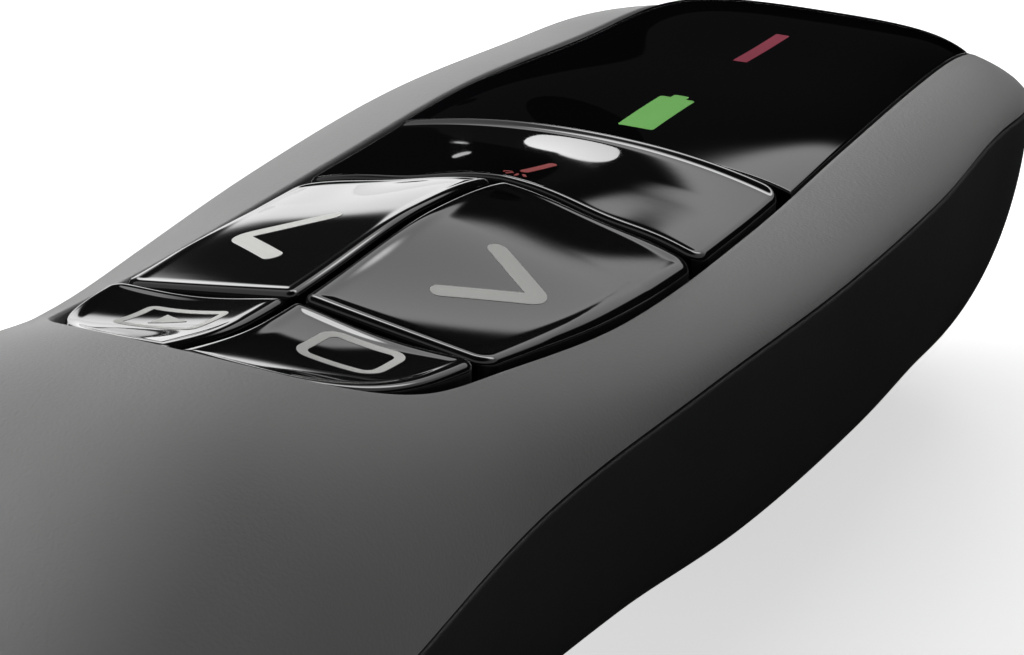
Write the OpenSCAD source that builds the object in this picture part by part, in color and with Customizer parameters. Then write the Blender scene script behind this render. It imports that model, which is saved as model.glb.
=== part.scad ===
// Wireless presentation clicker: two clamshell halves, a glossy control panel with five keys,
// a circuit board with one switch under each key, a laser in the nose, two AAA cells behind
// an underside door and a USB receiver stored in the tail.
// +Y points to the nose, +X to the right, +Z up, origin on the resting plane under the middle.

/* [Body] */
// Length from tail to nose
body_l = 115.5; // [114:0.5:124]
// Width across the widest part of the grip
body_w = 37.8; // [37.4:0.1:42]
// Height at the palm
body_h = 27.3; // [25:0.1:31]
// Height at the control panel's front
panel_h = 23.2; // [22.9:0.1:25]
// Wall of both shells
wall = 1.8; // [1.5:0.1:2]
// Length over which the nose rounds off
nose_l = 12.8; // [11:0.2:14]
// Length over which the tail rounds off
tail_l = 9; // [8:0.2:10]

/* [Control panel] */
// Length of the opening in the upper shell
panel_l = 78.7; // [76:0.1:80]
// Rim of upper shell left in front of the opening
nose_rim = 1.6; // [1.5:0.1:2]
// Length of the indicator window
window_l = 35.3; // [33:0.1:37]
// Length of the laser key
laser_key_l = 11.7; // [10.5:0.1:13]
// Length of the two arrow keys
arrow_key_l = 20.2; // [18:0.1:21]
// Gap between neighbouring keys
key_gap = 0.5; // [0.4:0.05:0.8]
// Gap between a key and the edge of the opening
edge_gap = 0.45; // [0.3:0.05:0.8]
// Gap between the window and the edge of the opening
window_gap = 0.2; // [0.15:0.05:0.4]
// Greatest height of the ridge between the arrow keys over the shell's surface
ridge_h = 2.4; // [1:0.1:2.6]
// Height of the laser key's rear lip over the shell's surface
lip_h = 1.8; // [0.8:0.1:2]
// How far the two lines in front of and behind the laser key bow forward
key_bow = 1.5; // [0:0.1:2]
// How far a key goes down
key_travel = 0.5; // [0.3:0.05:0.6]
// Diameter of the post under each key
post_d = 3; // [2.6:0.1:3.4]

/* [Key frame and board] */
// Thickness of the key frame's plate
frame_t = 1.2; // [1:0.1:1.4]
// Width of the frame's ledge past the opening
frame_ledge = 1.2; // [1:0.1:1.3]
// Thickness of the circuit board
pcb_t = 1.2; // [0.8:0.1:1.4]
// Side of the tactile switches
switch_w = 4.2; // [3.6:0.1:5]
// Height of the tactile switches' bodies
switch_h = 1.5; // [1.3:0.1:1.8]
// Diameter of the switches' plungers
plunger_d = 2.2; // [1.8:0.1:2.6]
// Diameter of the board screws
board_screw_d = 1.6; // [1.4:0.1:1.8]

/* [Batteries] */
// Diameter of an AAA cell
cell_d = 10.5; // [10:0.1:10.6]
// Length of an AAA cell with its nub
cell_l = 44.5; // [43.3:0.1:44.6]
// Length of a compressed contact spring
spring_l = 3.2; // [2.6:0.1:3.6]
// Wall of the battery tray
tray_t = 1; // [0.8:0.1:1.1]

/* [Receiver] */
// Width of the USB receiver
receiver_w = 17; // [16:0.1:17.4]
// Thickness of the USB receiver
receiver_t = 7.4; // [6.8:0.1:7.6]
// Length of the receiver's housing
receiver_l = 25; // [22:0.1:28]
// Length of the USB plug's metal shell
plug_l = 12; // [11.5:0.1:12.2]

/* [Laser] */
// Diameter of the laser barrel
barrel_d = 6.5; // [5.5:0.1:7]
// Length of the laser barrel
barrel_l = 9; // [8:0.1:12]
// Diameter of the hole that the beam leaves by
aperture_d = 3.2; // [2.5:0.1:4]

/* [Power switch] */
// Travel of the slide switch
slide_travel = 2.5; // [2:0.1:3]
// Length of the slide switch's knob
knob_l = 5; // [4:0.1:6]

/* [Screws] */
// Diameter of the housing screws
screw_d = 1.8; // [1.6:0.1:2]
// Diameter of the screw bosses
boss_d = 4.6; // [4.4:0.1:5]

/* [Hidden] */

// ---- Body surface ----
// Cross sections at equal steps from tail to nose. Each row holds the side's inset from the
// full width, the floor's height, the upper shell's depth, how far the crown goes from the
// panel's height (0) to the palm's (1), its drop from there, the squareness of the crown and
// the width of the band beside the control panel.
INSET = 0;
FLOOR = 1;
DEPTH = 2;
PALM = 3;
DROP = 4;
SQUARE = 5;
BAND = 6;
sections = [
    [3.4, 3.9, 4.9, 1, 10.3, 2.3, 5.3],
    [2.8, 1.0, 8.3, 1, 4.9, 2.4, 5.3],
    [2.6, -0.2, 10.8, 1, 0, 2.5, 5.3],
    [2.7, 1.4, 6.8, 0.5, -0.15, 2.4, 5.3],
    [1.2, 2.0, 3.7, 0, -0.4, 2.2, 5.0],
    [0.1, 0.8, 2.9, 0, -0.2, 2.3, 5.8],
    [0.15, 0.4, 2.8, 0, -0.5, 2.9, 6.2],
    [1.6, -0.25, 2.4, 0, 0, 3.3, 5.9],
    [2.0, -0.2, 3.6, 0, 0, 3.4, 6.0]
];
nose_k = 2.7;
tail_k = 2.4;
upper_m = 2;
lower_n = 3;
lower_m = 1.9;
half_l = body_l / 2;
last = len(sections) - 1;

function clamp(v, lo, hi) = max(lo, min(hi, v));
function knot(c, i) = sections[clamp(i, 0, last)][c];
function slope(c, i) = (knot(c, i + 1) - knot(c, i - 1)) / (i == 0 || i == last ? 1 : 2);
function hermite(a, b, ma, mb, t) =
    (2 * t^3 - 3 * t^2 + 1) * a + (t^3 - 2 * t^2 + t) * ma
    + (3 * t^2 - 2 * t^3) * b + (t^3 - t^2) * mb;
// Smooth curve through one column of the sections
function along(c, y) =
    let (s = clamp((y / half_l + 1) / 2 * last, 0, last), i = min(last - 1, floor(s)))
    hermite(knot(c, i), knot(c, i + 1), slope(c, i), slope(c, i + 1), s - i);
function crown_z(y) = panel_h + along(PALM, y) * (body_h - panel_h) - along(DROP, y);
function part_z(y) = crown_z(y) - along(DEPTH, y);
function half_w(y, i) = body_w / 2 - along(INSET, y) - i;
// How far y is into the rounded nose or tail, 0 to 1, for a surface i inside the outer one
nose_y = half_l - nose_l;
tail_y = -half_l + tail_l;
function end_t(y, i) =
    y > 0 ? clamp((y - nose_y) / (nose_l - i), 0, 1) : clamp((tail_y - y) / (tail_l - i), 0, 1);
function end_k(y) = y > 0 ? nose_k : tail_k;
function edge_x(y, i) = half_w(y, i) * (1 - end_t(y, i)^end_k(y))^(1 / end_k(y));
function radius(x, y, i) =
    min(1, ((abs(x) / half_w(y, i))^end_k(y) + end_t(y, i)^end_k(y))^(1 / end_k(y)));
function upper_z(x, y, i) =
    part_z(y) + (along(DEPTH, y) - i) * (1 - radius(x, y, i)^along(SQUARE, y))^(1 / upper_m);
function lower_z(x, y, i) =
    part_z(y) - (part_z(y) - along(FLOOR, y) - i) * (1 - radius(x, y, i)^lower_n)^(1 / lower_m);
// Distance from the middle to the upper and to the lower surface at height z
function roof_x(y, z, i) =
    edge_x(y, i)
    * (1 - clamp((z - part_z(y)) / (along(DEPTH, y) - i), 0, 1)^upper_m)^(1 / along(SQUARE, y));
function side_x(y, z, i) =
    edge_x(y, i)
    * (1 - clamp((part_z(y) - z) / (part_z(y) - along(FLOOR, y) - i), 0, 1)^lower_m)^(1 / lower_n);

// ---- Control panel ----
panel_front = half_l - nose_rim;
panel_rear = panel_front - panel_l;
panel_front_r = 3;
panel_rear_r = 11;
panel_front_k = 2.8;
panel_rear_k = 2.5;
// Half width of the opening, shrunk by g
function half_panel(y, g) =
    let (tf = clamp((y - panel_front + panel_front_r) / (panel_front_r - g), 0, 1),
         tr = clamp((panel_rear + panel_rear_r - y) / (panel_rear_r - g), 0, 1))
    (half_w(y, 0) - along(BAND, y) - g)
    * (1 - tf^panel_front_k)^(1 / panel_front_k) * (1 - tr^panel_rear_k)^(1 / panel_rear_k);
window_rear = panel_front - window_l;
laser_key_rear = window_rear - laser_key_l;
arrow_key_rear = laser_key_rear - arrow_key_l;
key_corner = 1.2;
key_round = 0.7;
ridge_k = 1.6;
lip_k = 1.5;
ridge_rear_h = -0.4;
ridge_peak = laser_key_rear - 7.2;
ridge_front_l = 8.6;
ridge_front_drop = 2.25;
// Height of the two halves' meeting ridge over the shell's own surface
function lift(y) =
    let (t = clamp((y - panel_rear) / (ridge_peak - panel_rear), 0, 1),
         w = clamp((y - ridge_peak) / ridge_front_l, 0, 1))
    ridge_rear_h + (ridge_h - ridge_rear_h) * t^3 * (4 - 3 * t)
    - ridge_front_drop * (1 - sqrt(1 - w^2));
// Forward bow at x of a line that is bowed by b in the middle
function bowed(x, b) = b * max(0, 1 - (x / half_panel(window_rear, 0))^2);

// ---- Stack under the panel, from the crown down ----
panel_depth = 2.6;
key_clear = 0.3;
switch_clear = 0.1;
frame_top = panel_h - panel_depth;
frame_under = frame_top - frame_t;
key_under = frame_top + key_travel + key_clear;
switch_top = frame_under - switch_clear;
pcb_top = switch_top - switch_h;
pcb_under = pcb_top - pcb_t;
plunger_top = switch_top + key_travel + 0.1;
plunger_l = 1.3;
plunger_gap = 0.1;
post_gap = 0.3;
arrow_post = [6.4, laser_key_rear - arrow_key_l / 2 - 0.1];
small_post = [5.6, arrow_key_rear - 4.9];
laser_post = [0, window_rear - laser_key_l / 2];
battery_icon = [0.9, window_rear + 7.4];
laser_icon = [0.9, window_rear + 22];
board_front = laser_icon[1] + 3.2;
board_rear = small_post[1] - 2.9;
board_screws_y = [laser_key_rear - 5, laser_key_rear + 25];

// ---- Battery bay ----
cell_gap = 0.15;
contact_t = 0.4;
tray_roof_t = 0.8;
tray_clear = 0.7;
tray_top = pcb_under - tray_clear - tray_roof_t;
cell_z = tray_top - cell_gap - cell_d / 2;
cell_x = cell_d / 2 + cell_gap;
bay_half = cell_x + cell_d / 2 + cell_gap;
bay_l = cell_l + spring_l + 2 * contact_t;
tray_side = bay_half + tray_t;
tray_foot_z = cell_z - 0.7;
ledge_z = tray_foot_z + 2.6;
ledge_h = 2.8;
ledge_l = 2.8;
tab_t = 1.2;
screw_head_h = 0.9;
screw_head_d = 2.8;
board_screw_x = tray_side + screw_head_d / 2 + 0.1;
board_post_d = 3;
nub_d = 3.8;
nub_l = 0.8;

// ---- Receiver ----
// The receiver lies at this share of the tail's height
receiver_share = 0.588;
receiver_z = along(FLOOR, -half_l) + receiver_share * (crown_z(-half_l) - along(FLOOR, -half_l));
fit = 0.25;
dock_t = 0.85;
plug_w = 12;
plug_h = 4.5;
plug_t = 0.35;
plug_base_t = 1;
dock_front = -half_l + receiver_l + plug_l + 0.8;
dock_rear = -half_l + 9.4;
dock_clear = 0.6;
// The bay reaches this far behind the middle, or as far as the dock leaves room
bay_back = 17.5;
bay_rear = max(-bay_back, dock_front + dock_t + dock_clear + tray_t);
bay_front = bay_rear + bay_l;

// ---- Laser ----
laser_z = part_z(half_l) - 8.1;
lens_t = 1;
laser_front = half_l - 2.8;
laser_board_t = 1;

// ---- Battery door ----
door_gap = 0.3;
door_half = bay_half + 0.2;
door_rear = bay_rear + 0.2;
door_front = bay_front + 0.2;
door_corner = 2;
door_t = wall - 0.1;

// ---- Power switch on the left side ----
knob_y = laser_key_rear + 16;
knob_z = pcb_under - 2;
knob_h = 2;
slot_gap = 0.3;

// ---- Screws ----
boss_bite = 0.4;
rear_screw_y = board_rear - 11.2;
rear_screw = [edge_x(rear_screw_y, wall) - boss_d / 2 + boss_bite, rear_screw_y];
join_z = part_z(rear_screw.y + boss_d / 2);
screw_tip = upper_z(rear_screw.x, rear_screw.y, wall) - 0.4;
head_h = 1.3;
head_d = 3.4;
seat_z = 7;

// ---- Building blocks ----
function quad(a, b, c, d, flip) = flip ? [[a, b, c], [a, c, d]] : [[a, c, b], [a, d, c]];
function net(base, rows, cols, flip) = [
    for (i = [0:rows - 2]) for (j = [0:cols - 2])
        let (a = base + i * cols + j) each quad(a, a + 1, a + cols + 1, a + cols, flip)
];
// Side walls that join two nets of the same size at their long edges
function sides(rows, cols) = let (b = rows * cols, e = cols - 1) [
    for (i = [0:rows - 2]) let (a = i * cols) each concat(
        quad(a, a + cols, b + a + cols, b + a, false),
        quad(a + e, b + a + e, b + a + cols + e, a + cols + e, false))
];
function ease(j, n) = (1 - cos(180 * j / n)) / 2;
function steps(y0, y1, n) = [for (j = [0:n]) y0 + (y1 - y0) * ease(j, n)];

// Solid between the surfaces top(x, y) and under(x, y), from lo(y) to hi(y), with its rows
// moved forward by bend(x, y)
module slab(ys, lo, hi, top, under, n, bend = function (x, y) 0) {
    cols = n + 1;
    rows = len(ys);
    b = rows * cols;
    r = b - cols;
    flat = [for (y = ys) for (j = [0:n]) [lo(y) + (hi(y) - lo(y)) * ease(j, n), y]];
    points = concat([for (p = flat) [p.x, p.y + bend(p.x, p.y), top(p.x, p.y)]],
                    [for (p = flat) [p.x, p.y + bend(p.x, p.y), under(p.x, p.y)]]);
    ends = [for (j = [0:n - 1]) each concat(
        quad(j, j + 1, b + j + 1, b + j, true),
        quad(r + j, r + j + 1, b + r + j + 1, b + r + j, false))];
    polyhedron(points, concat(net(0, rows, cols, false), net(b, rows, cols, true),
                              sides(rows, cols), ends));
}

end_steps = 9;
mid_steps = 18;
cross_steps = 24;
// Places along Y of one surface's rows, closer together at the rounded ends
function shell_rows(i) = concat(
    [for (k = [1:end_steps - 1])
        tail_y - (tail_l - i) * cos(90 * k / end_steps)^(2 / tail_k)],
    [for (k = [0:mid_steps]) tail_y + (nose_y - tail_y) * k / mid_steps],
    [for (k = [1:end_steps - 1])
        nose_y + (nose_l - i) * sin(90 * k / end_steps)^(2 / nose_k)]);
function shell_net(upper, i) = [
    for (y = shell_rows(i)) for (j = [0:cross_steps])
        let (x = edge_x(y, i) * sin(180 * j / cross_steps - 90))
        [x, y, upper ? upper_z(x, y, i) : lower_z(x, y, i)]
];
// Half of the body as a shell, open at the parting line. With solid set, it is filled.
module half_shell(upper, solid = false) {
    n = cross_steps + 1;
    m = 2 * end_steps + mid_steps - 1;
    b = m * n;
    r = b - n;
    e = n - 1;
    t = 2 * b;
    tips = [for (y = [-half_l, half_l, -half_l + wall, half_l - wall]) [0, y, part_z(y)]];
    inner = solid
        ? [for (y = shell_rows(wall)) for (j = [0:cross_steps])
            [edge_x(y, wall) * sin(180 * j / cross_steps - 90), y, part_z(y)]]
        : shell_net(upper, wall);
    fans = [for (j = [0:e - 1]) each [
        [t, j, j + 1], [t + 1, r + j + 1, r + j],
        [t + 2, b + j + 1, b + j], [t + 3, b + r + j, b + r + j + 1]]];
    rim = [[t, t + 2, 0], [t + 2, b, 0], [t, e, t + 2], [t + 2, e, b + e],
        [t + 1, r, t + 3], [t + 3, r, b + r], [t + 1, t + 3, r + e], [t + 3, b + r + e, r + e]];
    faces = concat(net(0, m, n, false), net(b, m, n, true), sides(m, n), fans, rim);
    polyhedron(concat(shell_net(upper, 0), inner, tips),
               upper ? faces : [for (f = faces) [f[2], f[1], f[0]]]);
}

// Outline of the opening grown by g, at least i inside the body's own outline
function panel_rows(g) = concat(
    [for (k = [0:12])
        panel_rear + panel_rear_r - (panel_rear_r + g) * cos(7.5 * k)^(2 / panel_rear_k)],
    [for (k = [1:14]) panel_rear + panel_rear_r
        + (panel_l - panel_rear_r - panel_front_r) * k / 14],
    [for (k = [1:6])
        panel_front - panel_front_r + (panel_front_r + g) * sin(15 * k)^(2 / panel_front_k)]);
module panel_outline(g) {
    right = [for (y = panel_rows(g)) [half_panel(y, -g), y]];
    n = len(right);
    polygon(concat(right, [for (k = [n - 2:-1:1]) [-right[k].x, right[k].y]]));
}
module box(x0, x1, y0, y1, z0, z1) {
    translate([x0, y0, z0]) cube([x1 - x0, y1 - y0, z1 - z0]);
}
// Upright cylinder from z0 to z1
module rod(at, d, z0, z1, fn = 32) {
    translate([at.x, at.y, z0]) cylinder(d = d, h = z1 - z0, $fn = fn);
}
// Cylinder along Y from y0 to y1
module bar(x, z, d, y0, y1, fn = 40) {
    translate([x, y0, z]) rotate([-90, 0, 0]) cylinder(d = d, h = y1 - y0, $fn = fn);
}
// Children as they are and mirrored to the other side
module both_sides() {
    children();
    mirror([1, 0, 0]) children();
}

// ---- Shells ----
module upper_shell() {
    color("dimgray") difference() {
        union() {
            half_shell(true);
            both_sides() {
                boss(true, join_z, body_h);
                clip();
                for (at = frame_pads) rod(at, 3, frame_top, upper_z(at.x + 1.5, at.y, wall / 2));
            }
        }
        translate([0, 0, frame_top]) linear_extrude(body_h) panel_outline(0);
        receiver_slot();
        both_sides() rod(rear_screw, screw_d + 0.1, join_z - 1, screw_tip + 0.4);
    }
}
frame_pads = [
    [half_panel(laser_key_rear, 0) + 1.5, laser_key_rear + 3],
    [half_panel(window_rear, 0) + 1.5, window_rear + 4],
    [half_panel(arrow_key_rear, 0) + 1.5, arrow_key_rear - 1]
];
// Clip at each side of the nose, whose barb catches in a pocket of the lower shell
clip_y = half_l - 11.8;
clip_w = 5;
clip_t = 1.4;
clip_x = edge_x(clip_y + clip_w / 2, wall) - 0.3;
clip_z = part_z(clip_y) - 3.4;
barb = 0.8;
module clip() {
    y0 = clip_y - clip_w / 2;
    y1 = clip_y + clip_w / 2;
    box(clip_x - clip_t, clip_x, y0, y1, clip_z, upper_z(clip_x, y1, wall / 2));
    box(clip_x - clip_t, clip_x + barb, y0, y1, clip_z, clip_z + barb);
}
module clip_pocket() {
    box(clip_x - clip_t, clip_x + barb + 0.2, clip_y - clip_w / 2 - 0.2, clip_y + clip_w / 2 + 0.2,
        clip_z - 0.2, clip_z + barb + 0.2);
}
// Screw boss between heights z0 and z1, trimmed by the body's own surface
module boss(upper, z0, z1) {
    intersection() {
        rod(rear_screw, boss_d, z0, z1);
        half_shell(upper, true);
    }
}
// Way of the stored receiver through the tail
module receiver_slot() {
    box(-receiver_w / 2 - fit, receiver_w / 2 + fit, -half_l - 1, dock_rear,
        receiver_z - receiver_t / 2 - fit, receiver_z + receiver_t / 2 + fit);
}
module door_hole(half, y0, y1, r) {
    translate([0, 0, -1]) linear_extrude(tray_foot_z + 1) union() {
        translate([-half, y0 + r]) square([2 * half, y1 - y0 - 2 * r]);
        translate([-half + r, y0]) square([2 * half - 2 * r, y1 - y0]);
        for (x = [-half + r, half - r], y = [y0 + r, y1 - r]) translate([x, y]) circle(r, $fn = 32);
    }
}
module lower_shell() {
    color("#1c1c1e") difference() {
        union() {
            half_shell(false);
            both_sides() {
                boss(false, 0, join_z);
                for (y = tray_ledges_y) box(tray_side + 0.2, side_x(y, ledge_z - ledge_h, wall / 2),
                    y - ledge_l / 2, y + ledge_l / 2, ledge_z - ledge_h, ledge_z);
                bay_wall();
            }
            for (y = dock_posts_y) rod([0, y], 5, lower_z(2.5, y - 2.5, wall / 2), dock_floor_z);
            for (y = laser_ribs_y)
                box(-rib_half, rib_half, y - 0.6, y + 0.6, lower_z(rib_half, y + 0.6, wall / 2), laser_z);
        }
        door_hole(door_half, door_rear, door_front, door_corner);
        receiver_slot();
        bar(0, laser_z, barrel_d + 0.2, laser_ribs_y[0] - 2, laser_front + 0.1);
        bar(0, laser_z, aperture_d, laser_front, half_l + 1);
        bar(0, laser_z, bezel_d, half_l - bezel_t, half_l + 1);
        knob_slot();
        both_sides() {
            clip_pocket();
            rod(rear_screw, screw_d + 0.3, 0, join_z + 1);
            rod(rear_screw, head_d + 0.4, -1, seat_z);
        }
        box(-body_w, body_w, -body_l, body_l, -5, 0);
    }
}
tray_ledges_y = [bay_rear + 14, bay_front - 1];
dock_floor_z = receiver_z - receiver_t / 2 - fit - dock_t;
dock_posts_y = [dock_rear + 6, dock_front - 6];
rib_half = barrel_d / 2 + 1.2;
laser_ribs_y = [laser_front - barrel_l + 2.5, laser_front - 3];
bezel_d = aperture_d + 2.4;
bezel_t = 2.2;
// Rib that carries the battery tray's wall down to the belly
module bay_wall() {
    x0 = bay_half + 0.1;
    x1 = tray_side;
    slab(steps(bay_rear - tray_t, bay_front + tray_t, 8), function (y) x0, function (y) x1,
         function (x, y) tray_foot_z, function (x, y) lower_z(x1, y, wall / 2), 1);
}
module knob_slot() {
    box(-body_w / 2 - 1, -body_w / 2 + 5, knob_y - knob_l / 2 - slide_travel / 2 - slot_gap,
        knob_y + knob_l / 2 + slide_travel / 2 + slot_gap,
        knob_z - knob_h / 2 - slot_gap, knob_z + knob_h / 2 + slot_gap);
}

// ---- Control panel ----
module key_frame() {
    ys = [for (y = panel_rows(frame_ledge)) if (y < panel_front - panel_front_r - 1) y];
    right = [for (y = ys) [min(half_panel(y, -frame_ledge), roof_x(y, frame_top, wall + 0.2)), y]];
    left = [for (k = [len(right) - 1:-1:0]) [-right[k].x, right[k].y]];
    color("#101011") difference() {
        union() {
            translate([0, 0, frame_under]) linear_extrude(frame_t) polygon(concat(right, left));
            both_sides() for (y = board_screws_y)
                rod([board_screw_x, y], board_post_d, pcb_top, frame_top);
        }
        both_sides() {
            for (at = [arrow_post, small_post])
                rod(at, post_d + 2 * post_gap, frame_under - 1, frame_top + 1);
            for (y = board_screws_y)
                rod([board_screw_x, y], board_screw_d + 0.1, pcb_top - 1, frame_top - 0.4);
        }
        rod(laser_post, post_d + 2 * post_gap, frame_under - 1, frame_top + 1);
        for (at = [battery_icon, laser_icon])
            box(at.x - guide_w / 2 - guide_gap, at.x + guide_w / 2 + guide_gap,
                at.y - guide_l / 2 - guide_gap, at.y + guide_l / 2 + guide_gap,
                frame_under - 1, frame_top + 1);
    }
}
// Drop of a rounded edge at distance d from it
function drop(d, r) = d >= r ? 0 : r - sqrt(max(0, r^2 - (r - d)^2));
function key_z(x, y, raised) =
    upper_z(x, y, 0)
    + raised * (1 - min(1, abs(x) / max(1, half_panel(y, 0)))^ridge_k);
module window() {
    y0 = window_rear + key_gap / 2;
    y1 = panel_front - panel_front_r;
    ys = concat(steps(y0, y1, 12),
                [for (k = [1:5])
                    y1 + (panel_front_r - window_gap) * sin(16 * k)^(2 / panel_front_k)]);
    half = function (y) half_panel(y, window_gap) - drop(y - y0, key_corner);
    bend = function (x, y) bowed(x, key_bow * clamp((y1 - y) / (y1 - y0), 0, 1));
    top = function (x, y)
        upper_z(x, y + bend(x, y), 0) - 0.1 - drop(min(half(y) - abs(x), y - y0), 0.3);
    color("#050506")
        slab(ys, function (y) -half(y), half, top, function (x, y) frame_top, 16, bend);
}
// Key from y0 to y1 on one side of the panel (-1 left, 1 right) or right across it (0), with its
// rear and front edges bowed by b0 and b1. raise(y, at) is the ridge's height for the row at y,
// where the bow moves it to the place at.
module key_cap(side, y0, y1, b0, b1, raise, post) {
    rear = max(y0, panel_rear + edge_gap + 0.25);
    outer = function (y) half_panel(y, edge_gap) - drop(min(y - rear, y1 - y), key_corner);
    inner = function (y) key_gap / 2 + drop(min(y - rear, y1 - y), key_corner / 2);
    lo = function (y) side > 0 ? inner(y) : -outer(y);
    hi = function (y) side < 0 ? -inner(y) : outer(y);
    bend = function (x, y) bowed(x, b0 + (b1 - b0) * (y - rear) / (y1 - rear));
    top = function (x, y) let (at = y + bend(x, y))
        key_z(x, at, raise(y, at)) - drop(min(x - lo(y), hi(y) - x, y - rear, y1 - y), key_round);
    union() {
        slab(steps(rear, y1, 12), lo, hi, top, function (x, y) key_under, side == 0 ? 18 : 12, bend);
        rod(post, post_d, plunger_top, key_under + 0.5);
    }
}
module laser_key() {
    color("#0a0a0b") key_cap(0, laser_key_rear + key_gap / 2, window_rear - key_gap / 2,
        key_bow, key_bow,
        function (y, at) lip_h * clamp((window_rear - y) / laser_key_l, 0, 1)^lip_k, laser_post);
}
module back_key() {
    color("#0a0a0b") key_cap(-1, arrow_key_rear + key_gap / 2, laser_key_rear - key_gap / 2,
        0, key_bow, function (y, at) lift(at), [-arrow_post.x, arrow_post.y]);
}
module next_key() {
    color("#0a0a0b") key_cap(1, arrow_key_rear + key_gap / 2, laser_key_rear - key_gap / 2,
        0, key_bow, function (y, at) lift(at), arrow_post);
}
module slideshow_key() {
    color("#0a0a0b") key_cap(-1, panel_rear, arrow_key_rear - key_gap / 2,
        0, 0, function (y, at) lift(at), [-small_post.x, small_post.y]);
}
module blank_key() {
    color("#0a0a0b") key_cap(1, panel_rear, arrow_key_rear - key_gap / 2,
        0, 0, function (y, at) lift(at), small_post);
}

// ---- Board and what is on it ----
module plunger(at) {
    color("#b8312f") rod(at, plunger_d, plunger_top - plunger_l, plunger_top);
}
module laser_plunger() { plunger(laser_post); }
module back_plunger() { plunger([-arrow_post.x, arrow_post.y]); }
module next_plunger() { plunger(arrow_post); }
module slideshow_plunger() { plunger([-small_post.x, small_post.y]); }
module blank_plunger() { plunger(small_post); }
module tact_switch(at) {
    w = switch_w / 2;
    color("silver") difference() {
        box(at.x - w, at.x + w, at.y - w, at.y + w, pcb_top, switch_top);
        rod(at, plunger_d + 2 * plunger_gap, plunger_top - plunger_l - key_travel - 0.1, switch_top + 1);
    }
}
module laser_switch() { tact_switch(laser_post); }
module back_switch() { tact_switch([-arrow_post.x, arrow_post.y]); }
module next_switch() { tact_switch(arrow_post); }
module slideshow_switch() { tact_switch([-small_post.x, small_post.y]); }
module blank_switch() { tact_switch(small_post); }
board_half = body_w / 2 - 3.9;
module main_board() {
    wide = board_half;
    narrow = half_w(board_rear, wall) - 2.6;
    front = 8.4;
    waist = laser_key_rear - 8;
    neck = clip_y - 4;
    right = [[narrow, board_rear], [wide, waist], [wide, neck - 4], [front, neck], [front, board_front]];
    left = [for (k = [len(right) - 1:-1:0]) [-right[k].x, right[k].y]];
    color("#1d5c36") translate([0, 0, pcb_under]) difference() {
        linear_extrude(pcb_t) polygon(concat(right, left));
        both_sides() for (y = board_screws_y) rod([board_screw_x, y], board_screw_d + 0.3, -1, pcb_t + 1);
    }
}
module processor_chip() {
    y = laser_post.y;
    color("#161616") box(board_half - 8.5, board_half - 2.5, y - 3, y + 3, pcb_top, pcb_top + 1);
}
module radio_chip() {
    y = laser_post.y;
    color("#161616") box(-board_half + 3.5, -board_half + 7.5, y - 2, y + 2, pcb_top, pcb_top + 0.9);
}
module crystal() {
    color("silver") box(-6, -3.5, laser_post.y - 2.5, laser_post.y + 2.5, pcb_top, pcb_top + 0.8);
}
module capacitors() {
    color("tan") for (x = [-10, -8, 10, 12])
        box(x - 0.4, x + 0.4, battery_icon.y - 0.8, battery_icon.y + 0.8, pcb_top, pcb_top + 0.8);
}
// Bent wire antenna laid on the board beside the laser light
module antenna() {
    y = laser_icon.y;
    color("gold") for (x = [-7.5, -5.5, -3.5]) {
        box(x, x + 0.5, y - 4, y + 2, pcb_top, pcb_top + 0.3);
        box(x, x + (x < -4 ? 2.5 : 0.5), x < -7 || x > -4 ? y + 1.5 : y - 4,
            x < -7 || x > -4 ? y + 2 : y - 3.5, pcb_top, pcb_top + 0.3);
    }
}
led_w = 1.6;
led_l = 2.4;
led_t = 0.8;
module light(at, tint) {
    color(tint) box(at.x - led_w / 2, at.x + led_w / 2, at.y - led_l / 2, at.y + led_l / 2,
                    pcb_top, pcb_top + led_t);
}
module battery_led() { light(battery_icon, "limegreen"); }
module laser_led() { light(laser_icon, "crimson"); }
// Clear block that carries the light up to the window
guide_w = 2.8;
guide_l = 6.8;
guide_gap = 0.3;
module light_guide(at) {
    color("whitesmoke") box(at.x - guide_w / 2, at.x + guide_w / 2,
                            at.y - guide_l / 2, at.y + guide_l / 2, pcb_top + led_t, frame_top);
}
module battery_light_guide() { light_guide(battery_icon); }
module laser_light_guide() { light_guide(laser_icon); }
module screw(at, d, z0, z1, head, head_t) {
    difference() {
        union() {
            rod(at, head, z0, z0 + head_t);
            rod(at, d, z0, z1);
        }
        box(at.x - head / 3, at.x + head / 3, at.y - 0.25, at.y + 0.25, z0 - 1, z0 + head_t / 2);
        box(at.x - 0.25, at.x + 0.25, at.y - head / 3, at.y + head / 3, z0 - 1, z0 + head_t / 2);
    }
}
module board_screws() {
    color("lightgray") both_sides() for (y = board_screws_y)
        screw([board_screw_x, y], board_screw_d, pcb_under - screw_head_h, frame_top - 0.5,
              screw_head_d, screw_head_h);
}

// ---- Batteries ----
module battery_tray() {
    x = tray_side;
    color("#2a2a2c") union() {
        difference() {
            box(-x, x, bay_rear - tray_t, bay_front + tray_t, tray_foot_z, tray_top + tray_roof_t);
            box(-bay_half, bay_half, bay_rear, bay_front, tray_foot_z - 1, tray_top);
        }
        box(-bay_half + 2, bay_half - 2, bay_front, bay_front + tray_t,
            tray_foot_z - 3.6, tray_foot_z + 1);
        both_sides() for (y = tray_ledges_y)
            box(x - 0.2, side_x(y, ledge_z, wall) - 0.3, y - ledge_l / 2, y + ledge_l / 2,
                ledge_z, ledge_z + tab_t);
    }
}
module cell(x, dir, y0) {
    r = cell_d / 2;
    can_l = cell_l - nub_l;
    color("goldenrod") translate([x, y0, cell_z]) rotate([-90 * dir, 0, 0])
        rotate_extrude($fn = 48) polygon([
            [0, 0], [r - can_edge, 0], [r, can_edge], [r, can_l - can_edge],
            [r - can_edge, can_l], [nub_d / 2, can_l], [nub_d / 2, cell_l], [0, cell_l]]);
}
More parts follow.
